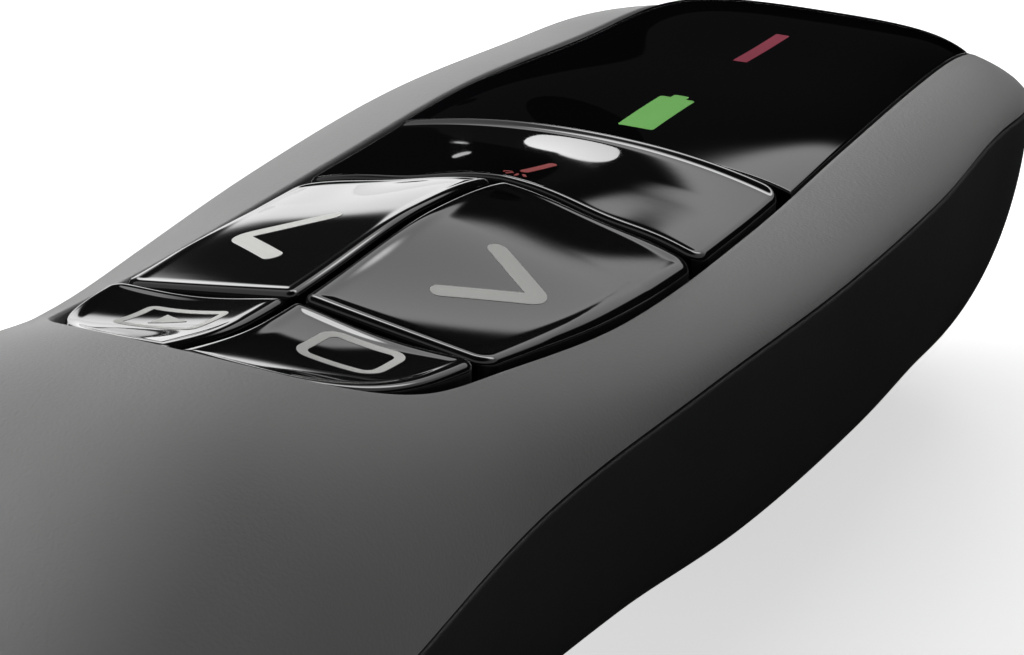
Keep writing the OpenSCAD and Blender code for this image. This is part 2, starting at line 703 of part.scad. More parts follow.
module cell_left() { cell(-cell_x, 1, bay_rear + contact_t + spring_l); }
module cell_right() { cell(cell_x, -1, bay_front - contact_t - spring_l); }
can_edge = 0.6;
contact_r = cell_d / 2 - 1.25;
module contact(x0, x1, y) {
    color("silver") box(x0 - contact_r, x1 + contact_r, y, y + contact_t,
                        cell_z - contact_r, cell_z + contact_r);
}
module front_contact() { contact(-cell_x, cell_x, bay_front - contact_t); }
module rear_left_contact() { contact(-cell_x, -cell_x, bay_rear); }
module rear_right_contact() { contact(cell_x, cell_x, bay_rear); }
spring_turns = 3;
spring_wire = 0.5;
// Conical coil that pushes on a cell's flat end, widest at the plate
module spring(x, y, dir) {
    per_turn = 14;
    around = 6;
    n = spring_turns * per_turn;
    reach = spring_l - spring_wire;
    rings = [for (k = [0:n]) let (a = 360 * k / per_turn, r = 3.2 - 1.7 * k / n)
        for (s = [0:around - 1]) let (b = 360 * s / around + 30, q = r + spring_wire / 2 * cos(b))
        [q * cos(a), dir * (spring_wire / 2 + reach * k / n + spring_wire / 2 * sin(b)), q * sin(a)]];
    walls = [for (k = [0:n - 1]) for (s = [0:around - 1])
        let (a = k * around + s, c = k * around + (s + 1) % around)
        each quad(a, c, c + around, a + around, dir > 0)];
    caps = [for (s = [1:around - 2]) each (dir > 0
        ? [[0, s + 1, s], [n * around, n * around + s, n * around + s + 1]]
        : [[0, s, s + 1], [n * around, n * around + s + 1, n * around + s]])];
    color("silver") translate([x, y, cell_z]) polyhedron(rings, concat(walls, caps));
}
module front_spring() { spring(cell_x, bay_front - contact_t, -1); }
module rear_spring() { spring(-cell_x, bay_rear + contact_t, 1); }
// Door that follows the belly, with two hooks at the front and finger ridges at the rear
module battery_door() {
    half = door_half - door_gap;
    y0 = door_rear + door_gap;
    y1 = door_front - door_gap;
    side = function (y) half - drop(min(y - y0, y1 - y), door_corner);
    hook_z = lower_z(hook_x + hook_w / 2, y1, wall) + 0.3;
    color("#1f1f21") difference() {
        union() {
            slab(steps(y0, y1, 16), function (y) -side(y), side,
                function (x, y) lower_z(x, y, door_t), function (x, y) lower_z(x, y, 0), 14);
            for (x = [-hook_x, hook_x]) {
                box(x - hook_w / 2, x + hook_w / 2, y1 - 1.6, y1, door_t / 2 + 0.4, hook_z + 0.8);
                box(x - hook_w / 2, x + hook_w / 2, y1 - 1.6, y1 + hook_l, hook_z, hook_z + 0.8);
            }
        }
        for (k = [0:4]) box(-5, 5, y0 + 2.5 + 1.6 * k, y0 + 3.1 + 1.6 * k, 0, finger_z);
    }
}
hook_x = 6;
hook_w = 3;
hook_l = 1.8;
finger_z = along(FLOOR, door_rear + 5) + 0.35;

// ---- Receiver and its dock ----
module receiver_dock() {
    x = receiver_w / 2 + fit;
    z0 = receiver_z - receiver_t / 2 - fit;
    z1 = receiver_z + receiver_t / 2 + fit;
    color("#2a2a2c") difference() {
        box(-x - dock_t, x + dock_t, dock_rear, dock_front + dock_t, z0 - dock_t, z1 + dock_t);
        box(-x, x, dock_rear - 1, dock_front, z0, z1);
    }
}
receiver_front = -half_l + receiver_l;
module receiver_housing() {
    x = receiver_w / 2;
    z0 = receiver_z - receiver_t / 2;
    z1 = receiver_z + receiver_t / 2;
    color("#232325") union() {
        box(-x, x, dock_rear, receiver_front, z0, z1);
        intersection() {
            box(-x, x, -half_l - 1, dock_rear + 0.5, z0, z1);
            union() {
                half_shell(true, true);
                half_shell(false, true);
            }
        }
    }
}
module receiver_plug() {
    color("silver") difference() {
        box(-plug_w / 2, plug_w / 2, receiver_front, receiver_front + plug_l,
            receiver_z - plug_h / 2, receiver_z + plug_h / 2);
        box(-plug_w / 2 + plug_t, plug_w / 2 - plug_t,
            receiver_front + plug_base_t, receiver_front + plug_l + 1,
            receiver_z - plug_h / 2 + plug_t, receiver_z + plug_h / 2 - plug_t);
        for (x = [-2.8, 2.8]) box(x - 1, x + 1, receiver_front + 5.5, receiver_front + 8,
                                  receiver_z, receiver_z + plug_h);
    }
}
module receiver_tongue() {
    color("white") box(-plug_w / 2 + plug_t, plug_w / 2 - plug_t,
                       receiver_front + plug_base_t, receiver_front + plug_l - 1.2,
                       receiver_z - plug_h / 2 + plug_t, receiver_z - 0.05);
}

// ---- Laser ----
module laser_barrel() {
    color("darkgoldenrod") difference() {
        bar(0, laser_z, barrel_d, laser_front - barrel_l, laser_front);
        bar(0, laser_z, barrel_d - 1.6, laser_front - barrel_l + 2, laser_front - 1);
        bar(0, laser_z, aperture_d, laser_front - 2, laser_front + 1);
    }
}
module laser_lens() {
    color("lightcyan") bar(0, laser_z, barrel_d - 1.6, laser_front - 1 - lens_t, laser_front - 1);
}
module laser_bezel() {
    color("#0a0a0b") intersection() {
        difference() {
            bar(0, laser_z, bezel_d, half_l - bezel_t, half_l + 1);
            bar(0, laser_z, aperture_d, half_l - bezel_t - 1, half_l + 2);
        }
        half_shell(false, true);
    }
}
module laser_board() {
    y1 = laser_front - barrel_l;
    r = barrel_d / 2;
    color("#1d5c36") box(-r - 0.25, r + 0.25, y1 - laser_board_t, y1, laser_z - r + 0.25, laser_z + r);
}

// ---- Power switch ----
// The switch fills the room between the battery tray and the side wall
switch_side_h = 3.6;
switch_side_l = 8.6;
switch_x0 = -side_x(knob_y, pcb_under - switch_side_h, wall) + 0.3;
switch_x1 = -tray_side - 0.5;
switch_slot_x = (switch_x0 + switch_x1) / 2;
module power_switch() {
    y0 = knob_y - switch_side_l / 2;
    reach = knob_stem / 2 + slide_travel / 2 + 0.2;
    color("silver") difference() {
        box(switch_x0, switch_x1, y0, y0 + switch_side_l, pcb_under - switch_side_h, pcb_under);
        box(switch_x0 - 1, switch_slot_x, knob_y - reach, knob_y + reach, knob_z - 0.7, knob_z + 0.7);
    }
}
knob_stem = 1.8;
knob_t = 2;
// The knob at its rear end of travel, where the clicker is off
module power_knob() {
    x0 = -body_w / 2 + 0.1;
    y = knob_y - slide_travel / 2;
    color("#0c0c0d") union() {
        difference() {
            box(x0, x0 + knob_t, y - knob_l / 2, y + knob_l / 2,
                knob_z - knob_h / 2, knob_z + knob_h / 2);
            for (k = [-2:2]) box(x0 - 1, x0 + 0.25, y + 0.8 * k - 0.2, y + 0.8 * k + 0.2,
                                 knob_z - knob_h, knob_z + knob_h);
        }
        box(x0 + knob_t - 0.1, switch_slot_x - 0.2, y - knob_stem / 2, y + knob_stem / 2,
            knob_z - 0.6, knob_z + 0.6);
    }
}

module housing_screws() {
    color("lightgray") both_sides()
        screw(rear_screw, screw_d, seat_z - head_h, screw_tip, head_d, head_h);
}

upper_shell();
lower_shell();
key_frame();
window();
laser_key();
back_key();
next_key();
slideshow_key();
blank_key();
laser_plunger();
back_plunger();
next_plunger();
slideshow_plunger();
blank_plunger();
laser_switch();
back_switch();
next_switch();
slideshow_switch();
blank_switch();
main_board();
processor_chip();
radio_chip();
crystal();
capacitors();
antenna();
battery_led();
laser_led();
battery_light_guide();
laser_light_guide();
board_screws();
battery_tray();
cell_left();
cell_right();
front_contact();
rear_left_contact();
rear_right_contact();
front_spring();
rear_spring();
battery_door();
receiver_dock();
receiver_housing();
receiver_plug();
receiver_tongue();
laser_barrel();
laser_lens();
laser_bezel();
laser_board();
power_switch();
power_knob();
housing_screws();
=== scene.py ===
"""Wireless presentation clicker: soft-touch grey upper shell, black lower shell, glossy panel with
a window and five dished keys. Sizes are in millimetres until a mesh is made; +Y is the nose."""
import math

import bmesh
import bpy
import numpy as np
from mathutils import Matrix, Vector


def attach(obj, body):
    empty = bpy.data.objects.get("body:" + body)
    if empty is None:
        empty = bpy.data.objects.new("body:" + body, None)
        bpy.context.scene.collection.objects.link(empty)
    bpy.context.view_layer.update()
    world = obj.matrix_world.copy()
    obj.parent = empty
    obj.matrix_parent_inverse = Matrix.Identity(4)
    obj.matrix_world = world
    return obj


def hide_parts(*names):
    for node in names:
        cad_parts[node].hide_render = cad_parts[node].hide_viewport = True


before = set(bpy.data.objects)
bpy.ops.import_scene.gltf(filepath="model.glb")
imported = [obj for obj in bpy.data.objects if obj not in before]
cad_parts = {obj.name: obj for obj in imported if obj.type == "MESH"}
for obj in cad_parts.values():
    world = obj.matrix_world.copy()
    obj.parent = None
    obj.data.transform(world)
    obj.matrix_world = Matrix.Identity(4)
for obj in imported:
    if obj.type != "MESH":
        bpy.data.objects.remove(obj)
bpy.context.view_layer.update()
MM = 0.001

# ---- Body surface: the same sections as the solids ----
BODY_W, BODY_H, PANEL_H = 37.8, 27.3, 23.2
HALF_L, WALL = 57.75, 1.8
NOSE_L, TAIL_L = 12.8, 9.0
# One row for each section from tail to nose. The columns are the inset of the side, the height
# of the belly, the depth of the upper shell, the share of the palm's rise, the drop of the
# crown, the squareness of the section and the width of the band beside the panel.
INSET, FLOOR, DEPTH, PALM, DROP, SQUARE, BAND = range(7)
SECTIONS = np.array([
    [3.4, 3.9, 4.9, 1, 10.3, 2.3, 5.3],
    [2.8, 1.0, 8.3, 1, 4.9, 2.4, 5.3],
    [2.6, -0.2, 10.8, 1, 0, 2.5, 5.3],
    [2.7, 1.4, 6.8, 0.5, -0.15, 2.4, 5.3],
    [1.2, 2.0, 3.7, 0, -0.4, 2.2, 5.0],
    [0.1, 0.8, 2.9, 0, -0.2, 2.3, 5.8],
    [0.15, 0.4, 2.8, 0, -0.5, 2.9, 6.2],
    [1.6, -0.25, 2.4, 0, 0, 3.3, 5.9],
    [2.0, -0.2, 3.6, 0, 0, 3.4, 6.0]])
LAST = len(SECTIONS) - 1
# Powers of the rounded nose and tail in plan, and of the belly across
NOSE_K, TAIL_K, LOWER_N, LOWER_M = 2.7, 2.4, 3, 1.9
NOSE_Y, TAIL_Y = HALF_L - NOSE_L, TAIL_L - HALF_L


def along(c, y):
    """Smooth curve through one column of the sections."""
    s = np.clip((np.asarray(y, float) / HALF_L + 1) / 2 * LAST, 0, LAST)
    i = np.minimum(LAST - 1, np.floor(s)).astype(int)
    t, k = s - i, SECTIONS[:, c]

    def slope(j):
        rise = k[np.minimum(j + 1, LAST)] - k[np.maximum(j - 1, 0)]
        return rise / np.where((j == 0) | (j == LAST), 1, 2)
    return ((2 * t**3 - 3 * t**2 + 1) * k[i] + (t**3 - 2 * t**2 + t) * slope(i)
            + (3 * t**2 - 2 * t**3) * k[i + 1] + (t**3 - t**2) * slope(i + 1))


def crown_z(y):
    """Height of the body's top line."""
    return PANEL_H + along(PALM, y) * (BODY_H - PANEL_H) - along(DROP, y)


def part_z(y):
    """Height of the parting line."""
    return crown_z(y) - along(DEPTH, y)


def half_w(y, i=0):
    """Half width of the body, i inside the outer surface."""
    return BODY_W / 2 - along(INSET, y) - i


def radius(x, y, i=0):
    """0 on the middle line, 1 on the parting line, for a surface i inside the outer one."""
    y = np.asarray(y, float)
    k = np.where(y > 0, NOSE_K, TAIL_K)
    t = np.where(y > 0, (y - NOSE_Y) / (NOSE_L - i), (TAIL_Y - y) / (TAIL_L - i))
    t = np.clip(t, 0, 1)
    return np.minimum(1, ((np.abs(x) / half_w(y, i))**k + t**k)**(1 / k))


def upper_z(x, y, i=0):
    """Upper shell's surface, i inside the outer one."""
    return part_z(y) + (along(DEPTH, y) - i) * np.sqrt(1 - radius(x, y, i)**along(SQUARE, y))


def lower_z(x, y, i=0):
    """Lower shell's surface, i inside the outer one."""
    return part_z(y) - (part_z(y) - along(FLOOR, y) - i) * (
        1 - radius(x, y, i)**LOWER_N)**(1 / LOWER_M)


# ---- Control panel ----
PANEL_FRONT, PANEL_REAR = 56.15, -22.55
# Radii and powers of the opening's corners
FRONT_R, REAR_R, FRONT_K, REAR_K = 3.0, 11.0, 2.8, 2.5
WINDOW_REAR, LASER_REAR, ARROW_REAR = 20.85, 9.15, -11.05
KEY_GAP, EDGE_GAP, WINDOW_GAP = 0.5, 0.45, 0.2
KEY_UNDER, FRAME_TOP = 21.4, 20.6
# How far each line across the panel bows forward in the middle
BOW = {WINDOW_REAR: 0.6, LASER_REAR: 0.9}
# Laser key's lip: height, and how late it rises
LIP_H, LIP_K = 1.75, 1.6
# Ridge between the keys: heights, place of the peak, length and drop of its front
RIDGE_H, RIDGE_REAR_H, RIDGE_PEAK, RIDGE_FRONT_L, RIDGE_DROP = 2.4, -0.4, 1.95, 12, 3.2


def half_panel(y, g=0.0):
    """Half width of the opening, shrunk by g."""
    y = np.asarray(y, float)
    tf = np.clip((y - PANEL_FRONT + FRONT_R) / (FRONT_R - g), 0, 1)
    tr = np.clip((PANEL_REAR + REAR_R - y) / (REAR_R - g), 0, 1)
    return ((half_w(y) - along(BAND, y) - g) * (1 - tf**FRONT_K)**(1 / FRONT_K)
            * (1 - tr**REAR_K)**(1 / REAR_K))


def lift(y):
    """Height of the ridge between the keys over the shell's own surface."""
    t = np.clip((y - PANEL_REAR) / (RIDGE_PEAK - PANEL_REAR), 0, 1)
    w = np.clip((y - RIDGE_PEAK) / RIDGE_FRONT_L, 0, 1)
    return (RIDGE_REAR_H + (RIDGE_H - RIDGE_REAR_H) * t**3 * (4 - 3 * t)
            - RIDGE_DROP * (1 - np.sqrt(1 - w**2)))


def bow(y0, x):
    """Forward bow of the line between two pieces of the panel."""
    return BOW.get(y0, 0) * np.maximum(0, 1 - (x / half_panel(WINDOW_REAR))**2)


def fillet(d, r):
    """Drop of an edge rounded with radius r at distance d from it."""
    return np.where(d >= r, 0, r - np.sqrt(np.maximum(0, r**2 - (r - np.minimum(d, r))**2)))


# ---- Mesh building ----
# Distances in metres below which points are joined and slivers dropped
JOIN, SLIVER = 1e-7, 1e-8
# Angles in degrees from which an edge is shaded sharp
SHARP, SHARP_BEVEL, SHARP_MARK = 32, 50, 60
BEVEL_FROM = 0.7


def grid_faces(rows, cols, wrap_rows=False, wrap_cols=False):
    """Faces of a grid of points, closed on itself where asked."""
    r, c = rows - (not wrap_rows), cols - (not wrap_cols)
    return [(i * cols + j, i * cols + (j + 1) % cols,
             (i + 1) % rows * cols + (j + 1) % cols, (i + 1) % rows * cols + j)
            for i in range(r) for j in range(c)]


def border(rows, cols):
    """Indices round the edge of a grid of points."""
    return (list(range(cols)) + [r * cols + cols - 1 for r in range(1, rows)]
            + [(rows - 1) * cols + k for k in range(cols - 2, -1, -1)]
            + [r * cols for r in range(rows - 2, 0, -1)])


def smooth(obj, sharp=SHARP):
    """Shades a piece smoothly, but for edges sharper than the given angle."""
    obj.data.shade_smooth()
    obj.data.set_sharp_from_angle(angle=math.radians(sharp))
    return obj


def new_object(name, verts, faces, sharp=SHARP):
    """Piece from points in millimetres, with doubled points joined."""
    mesh = bpy.data.meshes.new(name)
    mesh.from_pydata((np.asarray(verts, float) * MM).tolist(), [], faces)
    bm = bmesh.new()
    bm.from_mesh(mesh)
    bmesh.ops.remove_doubles(bm, verts=bm.verts, dist=JOIN)
    bmesh.ops.dissolve_degenerate(bm, edges=bm.edges, dist=SLIVER)
    bmesh.ops.recalc_face_normals(bm, faces=bm.faces)
    bm.to_mesh(mesh)
    bm.free()
    obj = bpy.data.objects.new(name, mesh)
    bpy.context.scene.collection.objects.link(obj)
    return smooth(obj, sharp)


def dress(obj, body, material, slot, *nodes):
    """Gives a piece its body, its finish and the nodes that it stands for."""
    obj.data.materials.clear()
    obj.data.materials.append(material)
    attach(obj, body)
    if nodes:
        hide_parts(*nodes)


def lengths(path):
    """Distance along a path at each of its points."""
    return np.r_[0, np.cumsum(np.hypot(*np.diff(path, axis=0).T))]


# Points in each part of a half outline, and where the parts of each loop meet
COUNTS = (44, 90, 46)
BODY_PARTS, PANEL_PARTS, DOOR_PARTS = (-30, 47), (-9, 51.5), (-12, 26)
QUARTER = np.linspace(0, math.pi / 2, 241)
SIDE_N = 400


def resample(line, parts):
    """Points along a half outline, evenly spaced in each of its three parts."""
    d = lengths(line)
    a, b = np.interp(parts, line[:, 1], d)
    s = np.r_[np.linspace(0, a, COUNTS[0], endpoint=False),
              np.linspace(a, b, COUNTS[1], endpoint=False),
              np.linspace(b, d[-1], COUNTS[2])]
    return np.c_[np.interp(s, d, line[:, 0]), np.interp(s, d, line[:, 1])]


def closed(right):
    """Full loop from the rear middle round the right side to the front and back on the left."""
    return np.r_[right, (right * [-1, 1])[-2:0:-1]]


def body_loop(i=0.0):
    """Outline of the body, i inside the outer surface."""
    k, m = 2 / TAIL_K, 2 / NOSE_K
    tail_y = TAIL_Y - (TAIL_L - i) * np.cos(QUARTER)**k
    nose_y = NOSE_Y + (NOSE_L - i) * np.sin(QUARTER)**m
    mid_y = np.linspace(TAIL_Y, NOSE_Y, SIDE_N)[1:-1]
    line = np.r_[np.c_[half_w(tail_y, i) * np.sin(QUARTER)**k, tail_y],
                 np.c_[half_w(mid_y, i), mid_y],
                 np.c_[half_w(nose_y, i) * np.cos(QUARTER)**m, nose_y]]
    return closed(resample(line, BODY_PARTS))


def panel_loop(g=0.0):
    """Opening in the upper shell, grown by g."""
    rear_y = PANEL_REAR + REAR_R - (REAR_R + g) * np.cos(QUARTER)**(2 / REAR_K)
    front_y = PANEL_FRONT - FRONT_R + (FRONT_R + g) * np.sin(QUARTER)**(2 / FRONT_K)
    mid_y = np.linspace(PANEL_REAR + REAR_R, PANEL_FRONT - FRONT_R, SIDE_N)[1:-1]
    y = np.r_[rear_y, mid_y, front_y]
    line = np.c_[half_panel(y, -g), y]
    line[0, 0] = line[-1, 0] = 0
    return closed(resample(line, PANEL_PARTS))


DOOR_HALF, DOOR_REAR, DOOR_FRONT, DOOR_R = 11.0, -17.3, 31.2, 2.0


def door_loop(g=0.0):
    """Opening for the battery door, grown by g."""
    half, rear, front, r = DOOR_HALF + g, DOOR_REAR - g, DOOR_FRONT + g, DOOR_R + g
    c, s = np.cos(QUARTER), np.sin(QUARTER)
    line = np.r_[[[0, rear]], np.c_[half - r + r * s, rear + r - r * c],
                 np.c_[half - r + r * c, front - r + r * s], [[0, front]]]
    return closed(resample(line, DOOR_PARTS))


def between(inner, outer, rows):
    """Rows of points from one loop out to another, closer together where the body turns over."""
    start = np.arcsin(np.minimum(0.999, radius(inner[:, 0], inner[:, 1])))
    out = []
    for v in np.linspace(0, 1, rows):
        s = (np.sin(start + v * (math.pi / 2 - start)) - np.sin(start)) / (1 - np.sin(start))
        out.append(inner + (outer - inner) * s[:, None])
    return out


# Half the gap at the parting, and how far the surface turns in beside it
SEAM, RIM = 0.07, 0.26
# Set-back and distance from the parting of the rows that round each shell's rim
UPPER_RIM = ((0, 0.17), (0.03, 0.09), (0.12, 0.03), (0.3, 0))
LOWER_RIM = ((0, 0.17), (0.03, 0.09), (0.1, 0.03), (0.22, 0))
# Places of the rows on the inside, from the side wall (0) towards the opening (1)
INNER_STEPS = (0, 0.03, 0.1, 0.25, 0.5, 0.8)
NEAR_SHARE = 0.7


def skin(xy, side=1):
    """Outer surface of the upper (1) or lower (-1) shell, turned in at the rim by the parting."""
    rise = upper_z(*xy.T) - part_z(xy[:, 1]) if side > 0 else part_z(xy[:, 1]) - lower_z(*xy.T)
    return np.maximum(0, part_z(xy[:, 1]) + side * np.hypot(rise, RIM))


def inner_z(xy, side):
    """Inner surface of the upper (1) or lower (-1) shell, which ends at the parting."""
    seam_z = part_z(xy[:, 1]) + side * SEAM
    if side > 0:
        return np.maximum(upper_z(*xy.T, WALL), seam_z)
    return np.minimum(lower_z(*xy.T, WALL), seam_z)


def inside(inner, outer):
    """Loop one wall inside the outer one towards the inner one, or less where they are near."""
    gap = np.hypot(*(outer - inner).T)
    return outer + (inner - outer) * (np.minimum(WALL, NEAR_SHARE * gap) / gap)[:, None]


def housing(name, side, opening, edge_r, counts, rim):
    """Upper (1) or lower (-1) shell: the wall and rounded edge of its opening, the outer surface,
    the rim at the parting and the inside. The counts are those of the first three's rows."""
    wall_n, edge_n, skin_n = counts
    lip, outer = opening(), body_loop()
    z0, z1 = inner_z(lip, side), skin(lip, side) - side * edge_r
    rows = [np.c_[lip, z0 + (z1 - z0) * k / wall_n] for k in range(wall_n)]
    for a in np.linspace(0, math.pi / 2, edge_n):
        xy = opening(edge_r * (1 - math.cos(a)))
        rows.append(np.c_[xy, skin(xy, side) - side * edge_r * (1 - math.sin(a))])
    for xy in between(opening(edge_r), outer, skin_n)[1:-1]:
        rows.append(np.c_[xy, skin(xy, side)])
    for i, off in rim:
        xy = body_loop(i)
        rows.append(np.c_[xy, part_z(xy[:, 1]) + side * SEAM + side * off])
    wall_loop = inside(lip, outer)
    for v in INNER_STEPS:
        xy = wall_loop + (lip - wall_loop) * v
        rows.append(np.c_[xy, inner_z(xy, side)])
    return new_object(name, np.concatenate(rows), grid_faces(len(rows), len(lip), True, True))


def apply(obj, modifier):
    """Makes a modifier part of the mesh."""
    bpy.context.view_layer.objects.active = obj
    bpy.ops.object.modifier_apply(modifier=modifier.name)


def cut(obj, *cutters):
    """Takes the cutters out of the piece and removes them."""
    for cutter in cutters:
        modifier = obj.modifiers.new("cut", "BOOLEAN")
        modifier.operation = "DIFFERENCE"
        modifier.object = cutter
        modifier.solver = "EXACT"
        apply(obj, modifier)
        bpy.data.objects.remove(cutter)
    return smooth(obj)


def prism(name, outline, axis, lo, hi):
    """Solid with a plan outline in the two axes other than `axis`, from lo to hi along it."""
    n = len(outline)
    other = [k for k in range(3) if k != axis]
    verts = np.zeros((2 * n, 3))
    for k, o in enumerate(other):
        verts[:n, o] = verts[n:, o] = [p[k] for p in outline]
    verts[:n, axis], verts[n:, axis] = lo, hi
    faces = [(k, (k + 1) % n, n + (k + 1) % n, n + k) for k in range(n)]
    return new_object(name, verts, faces + [tuple(range(n)), tuple(range(n, 2 * n))])


def round_rect(hx, hy, r, cx=0.0, cy=0.0, n=9):
    """Rounded rectangle with half sides hx and hy and n points in each corner."""
    out = []
    for k, (sx, sy) in enumerate(((1, -1), (1, 1), (-1, 1), (-1, -1))):
        for a in np.linspace(-90 + 90 * k, 90 * k, n):
            out.append((cx + sx * (hx - r) + r * math.cos(math.radians(a)),
                        cy + sy * (hy - r) + r * math.sin(math.radians(a))))
    return out


def circle(r, cx, cy, n=48):
    """Circle of n points."""
    return [(cx + r * math.cos(2 * math.pi * k / n), cy + r * math.sin(2 * math.pi * k / n))
            for k in range(n)]


def ease(n):
    """Steps from 0 to 1, closer together at both ends."""
    return (1 - np.cos(np.pi * np.arange(n + 1) / n)) / 2


def distance_to(points, outline):
    """Distance from each point to a closed polyline, in plan."""
    best = np.full(len(points), 1e9)
    for a, b in zip(outline, np.roll(outline, -1, axis=0)):
        ab = b - a
        t = np.clip(((points - a) @ ab) / max(1e-12, ab @ ab), 0, 1)
        best = np.minimum(best, np.hypot(*(points - a - t[:, None] * ab).T))
    return best


def panel_piece(name, side, ends, gaps, corner, edge_gap, surface, under, nu, nv):
    """Solid that fills one field of the panel: side -1 left, 1 right, 0 both. surface(x, y, d)
    gives the top from the distance d to the outline, on a grid of nu by nv steps."""
    (y0, y1), (g0, g1) = ends, gaps
    a, b = y0 + g0, y1 - g1
    v = ease(nv)
    yn = a + (b - a) * v
    near = np.minimum(yn - a, b - yn)
    outer = half_panel(yn, edge_gap) - fillet(near, corner)
    inner = KEY_GAP / 2 + fillet(near, corner / 2)
    lo = np.where(side > 0, inner, -outer)
    hi = np.where(side < 0, -inner, outer)
    u = ease(nu)
    x = lo[:, None] + (hi - lo)[:, None] * u[None, :]
    y = yn[:, None] + bow(y0, x) * (1 - v)[:, None] + bow(y1, x) * v[:, None]
    flat = np.c_[x.ravel(), y.ravel()]
    rows, cols = x.shape
    ring = border(rows, cols)
    d = distance_to(flat, flat[ring])
    top = np.c_[flat, surface(flat[:, 0], flat[:, 1], d)]
    wall = top[ring]
    low = wall.copy()
    low[:, 2] = under
    n, m = len(top), len(ring)
    verts = np.r_[top, wall, low]
    faces = grid_faces(rows, cols)
    faces += [(n + k, n + (k + 1) % m, n + m + (k + 1) % m, n + m + k) for k in range(m)]
    faces += [tuple(n + m + k for k in range(m))]
    return new_object(name, verts, faces)


def merge(obj, *others):
    """Adds the meshes of the others to the piece."""
    bm = bmesh.new()
    bm.from_mesh(obj.data)
    for o in others:
        bm.from_mesh(o.data)
        bpy.data.objects.remove(o)
    bm.to_mesh(obj.data)
    bm.free()
    return smooth(obj)


def soften(obj, width, segments=3):
    """Rounds the edges of a piece that turn by more than BEVEL_FROM radians."""
    modifier = obj.modifiers.new("edges", "BEVEL")
    modifier.width = width * MM
    modifier.segments = segments
    modifier.limit_method = "ANGLE"
    modifier.angle_limit = BEVEL_FROM
    apply(obj, modifier)
    return smooth(obj, SHARP_BEVEL)


def plate(name, x, y, z_out, z_in):
    """Closed solid between two heights over one plan grid."""
    rows, cols = x.shape
    n, ring = rows * cols, border(rows, cols)
    verts = np.r_[np.c_[x.ravel(), y.ravel(), z_out.ravel()],
                  np.c_[x.ravel(), y.ravel(), z_in.ravel()]]
    faces = grid_faces(rows, cols)
    faces += [tuple(n + k for k in face[::-1]) for face in grid_faces(rows, cols)]
    faces += [(a, b, n + b, n + a) for a, b in zip(ring, ring[1:] + ring[:1])]
    return new_object(name, verts, faces)


# Printed marks: spacing along a path, height over the surface and depth of the hidden foot
MARK_STEP, MARK_RISE, MARK_SINK = 0.06, 0.02, 0.03
CORNER_N = 13


def route(points, r):
    """Dense path through corner points, with each inner corner rounded."""
    pts = [np.array(p, float) for p in points]
    out = [pts[0]]
    for a, b, c in zip(pts, pts[1:], pts[2:]):
        p, q = b + (a - b) * r / np.hypot(*(a - b)), b + (c - b) * r / np.hypot(*(c - b))
        out += [(1 - t)**2 * p + 2 * t * (1 - t) * b + t * t * q
                for t in np.linspace(0, 1, CORNER_N)]
    out = np.array(out + [pts[-1]])
    d = lengths(out)
    s = np.linspace(0, d[-1], max(3, int(d[-1] / MARK_STEP)))
    return np.c_[np.interp(s, d, out[:, 0]), np.interp(s, d, out[:, 1])]


def ribbon(name, path, half, surface, loop=False, rise=MARK_RISE, bands=8):
    """Printed mark: a thin strip along the path that follows the surface under it."""
    step = (np.roll(path, -1, 0) - np.roll(path, 1, 0)) if loop else np.gradient(path, axis=0)
    step /= np.hypot(*step.T)[:, None]
    side = np.c_[step[:, 1], -step[:, 0]]
    reach = np.linspace(-1, 1, bands + 1)[None, :] * np.broadcast_to(half, len(path))[:, None]
    xy = path[:, None] + reach[..., None] * side[:, None]
    z = surface(xy[..., 0], xy[..., 1]) + rise
    grid = np.concatenate([xy, z[..., None]], axis=2)
    under = grid[:, [0, -1]] - [0, 0, rise + MARK_SINK]
    grid = np.concatenate([under[:, :1], grid, under[:, 1:]], axis=1)
    faces = grid_faces(len(path), bands + 3, loop)
    return new_object(name, grid.reshape(-1, 3), faces, SHARP_MARK)


def round_ends(path, half):
    """Half widths of a stroke with round ends."""
    d = lengths(path)
    e = np.minimum(d, d[-1] - d)
    return half * np.sqrt(np.maximum(0.003, 1 - np.maximum(0, 1 - e / half)**2))


# ---- Key surfaces ----
# Distance to the outline that counts as far from it, and the bead beside a key's rounded edge
FAR = 9.0
BEAD_H, BEAD_AT, BEAD_W, KEY_EDGE_R = 0.06, 0.55, 0.35, 0.35
# Laser key: length, edge, rim at the window, bead along the lip, and crown in front
LASER_L, LASER_EDGE_R = 11.7, 0.45
RIM_H, RIM_AT, RIM_W = 0.19, 0.6, 0.45
LIP_BEAD_H, LIP_BEAD_AT, LIP_BEAD_W = 0.07, 0.5, 0.3
FRONT_CROWN = 0.85
# Window: crown in the middle of its length and its gain over half of that length
WINDOW_CROWN, WINDOW_TILT, WINDOW_MID, WINDOW_HALF = 0.5, 0.2, 38, 17
WINDOW_SINK, WINDOW_EDGE_R = 0.1, 0.15


def across(x, y, k):
    """1 on the middle line, falling to 0 at the opening's edge."""
    return 1 - np.minimum(1, np.abs(x) / np.maximum(1, half_panel(y)))**k


def bump(d, at, width):
    """1 at one place, falling off on both sides."""
    return np.exp(-((d - at) / width)**2)


def grow(y, start, length, limit, power):
    """0 at the start and 1 a length further on, a negative one towards the rear, up to a limit."""
    return np.clip((y - start) / length, 0, limit)**power


def hollow(x, y, depth, middle_x, half_x, middle_y, half_y, power=1.0):
    """Dish on each side of the middle line."""
    by_x = np.maximum(0, 1 - ((np.abs(x) - middle_x) / half_x)**2)**power
    return depth * by_x * np.maximum(0, 1 - ((y - middle_y) / half_y)**2)


def outer_edge(x, height, half_x, power):
    """Rise of a key towards its outer side."""
    return height * (np.abs(x) / half_x)**power


def outline_distance(x, d):
    """The given distances to the outline, or a far one for marks on the surface."""
    return np.full(np.shape(x), FAR) if d is None else d


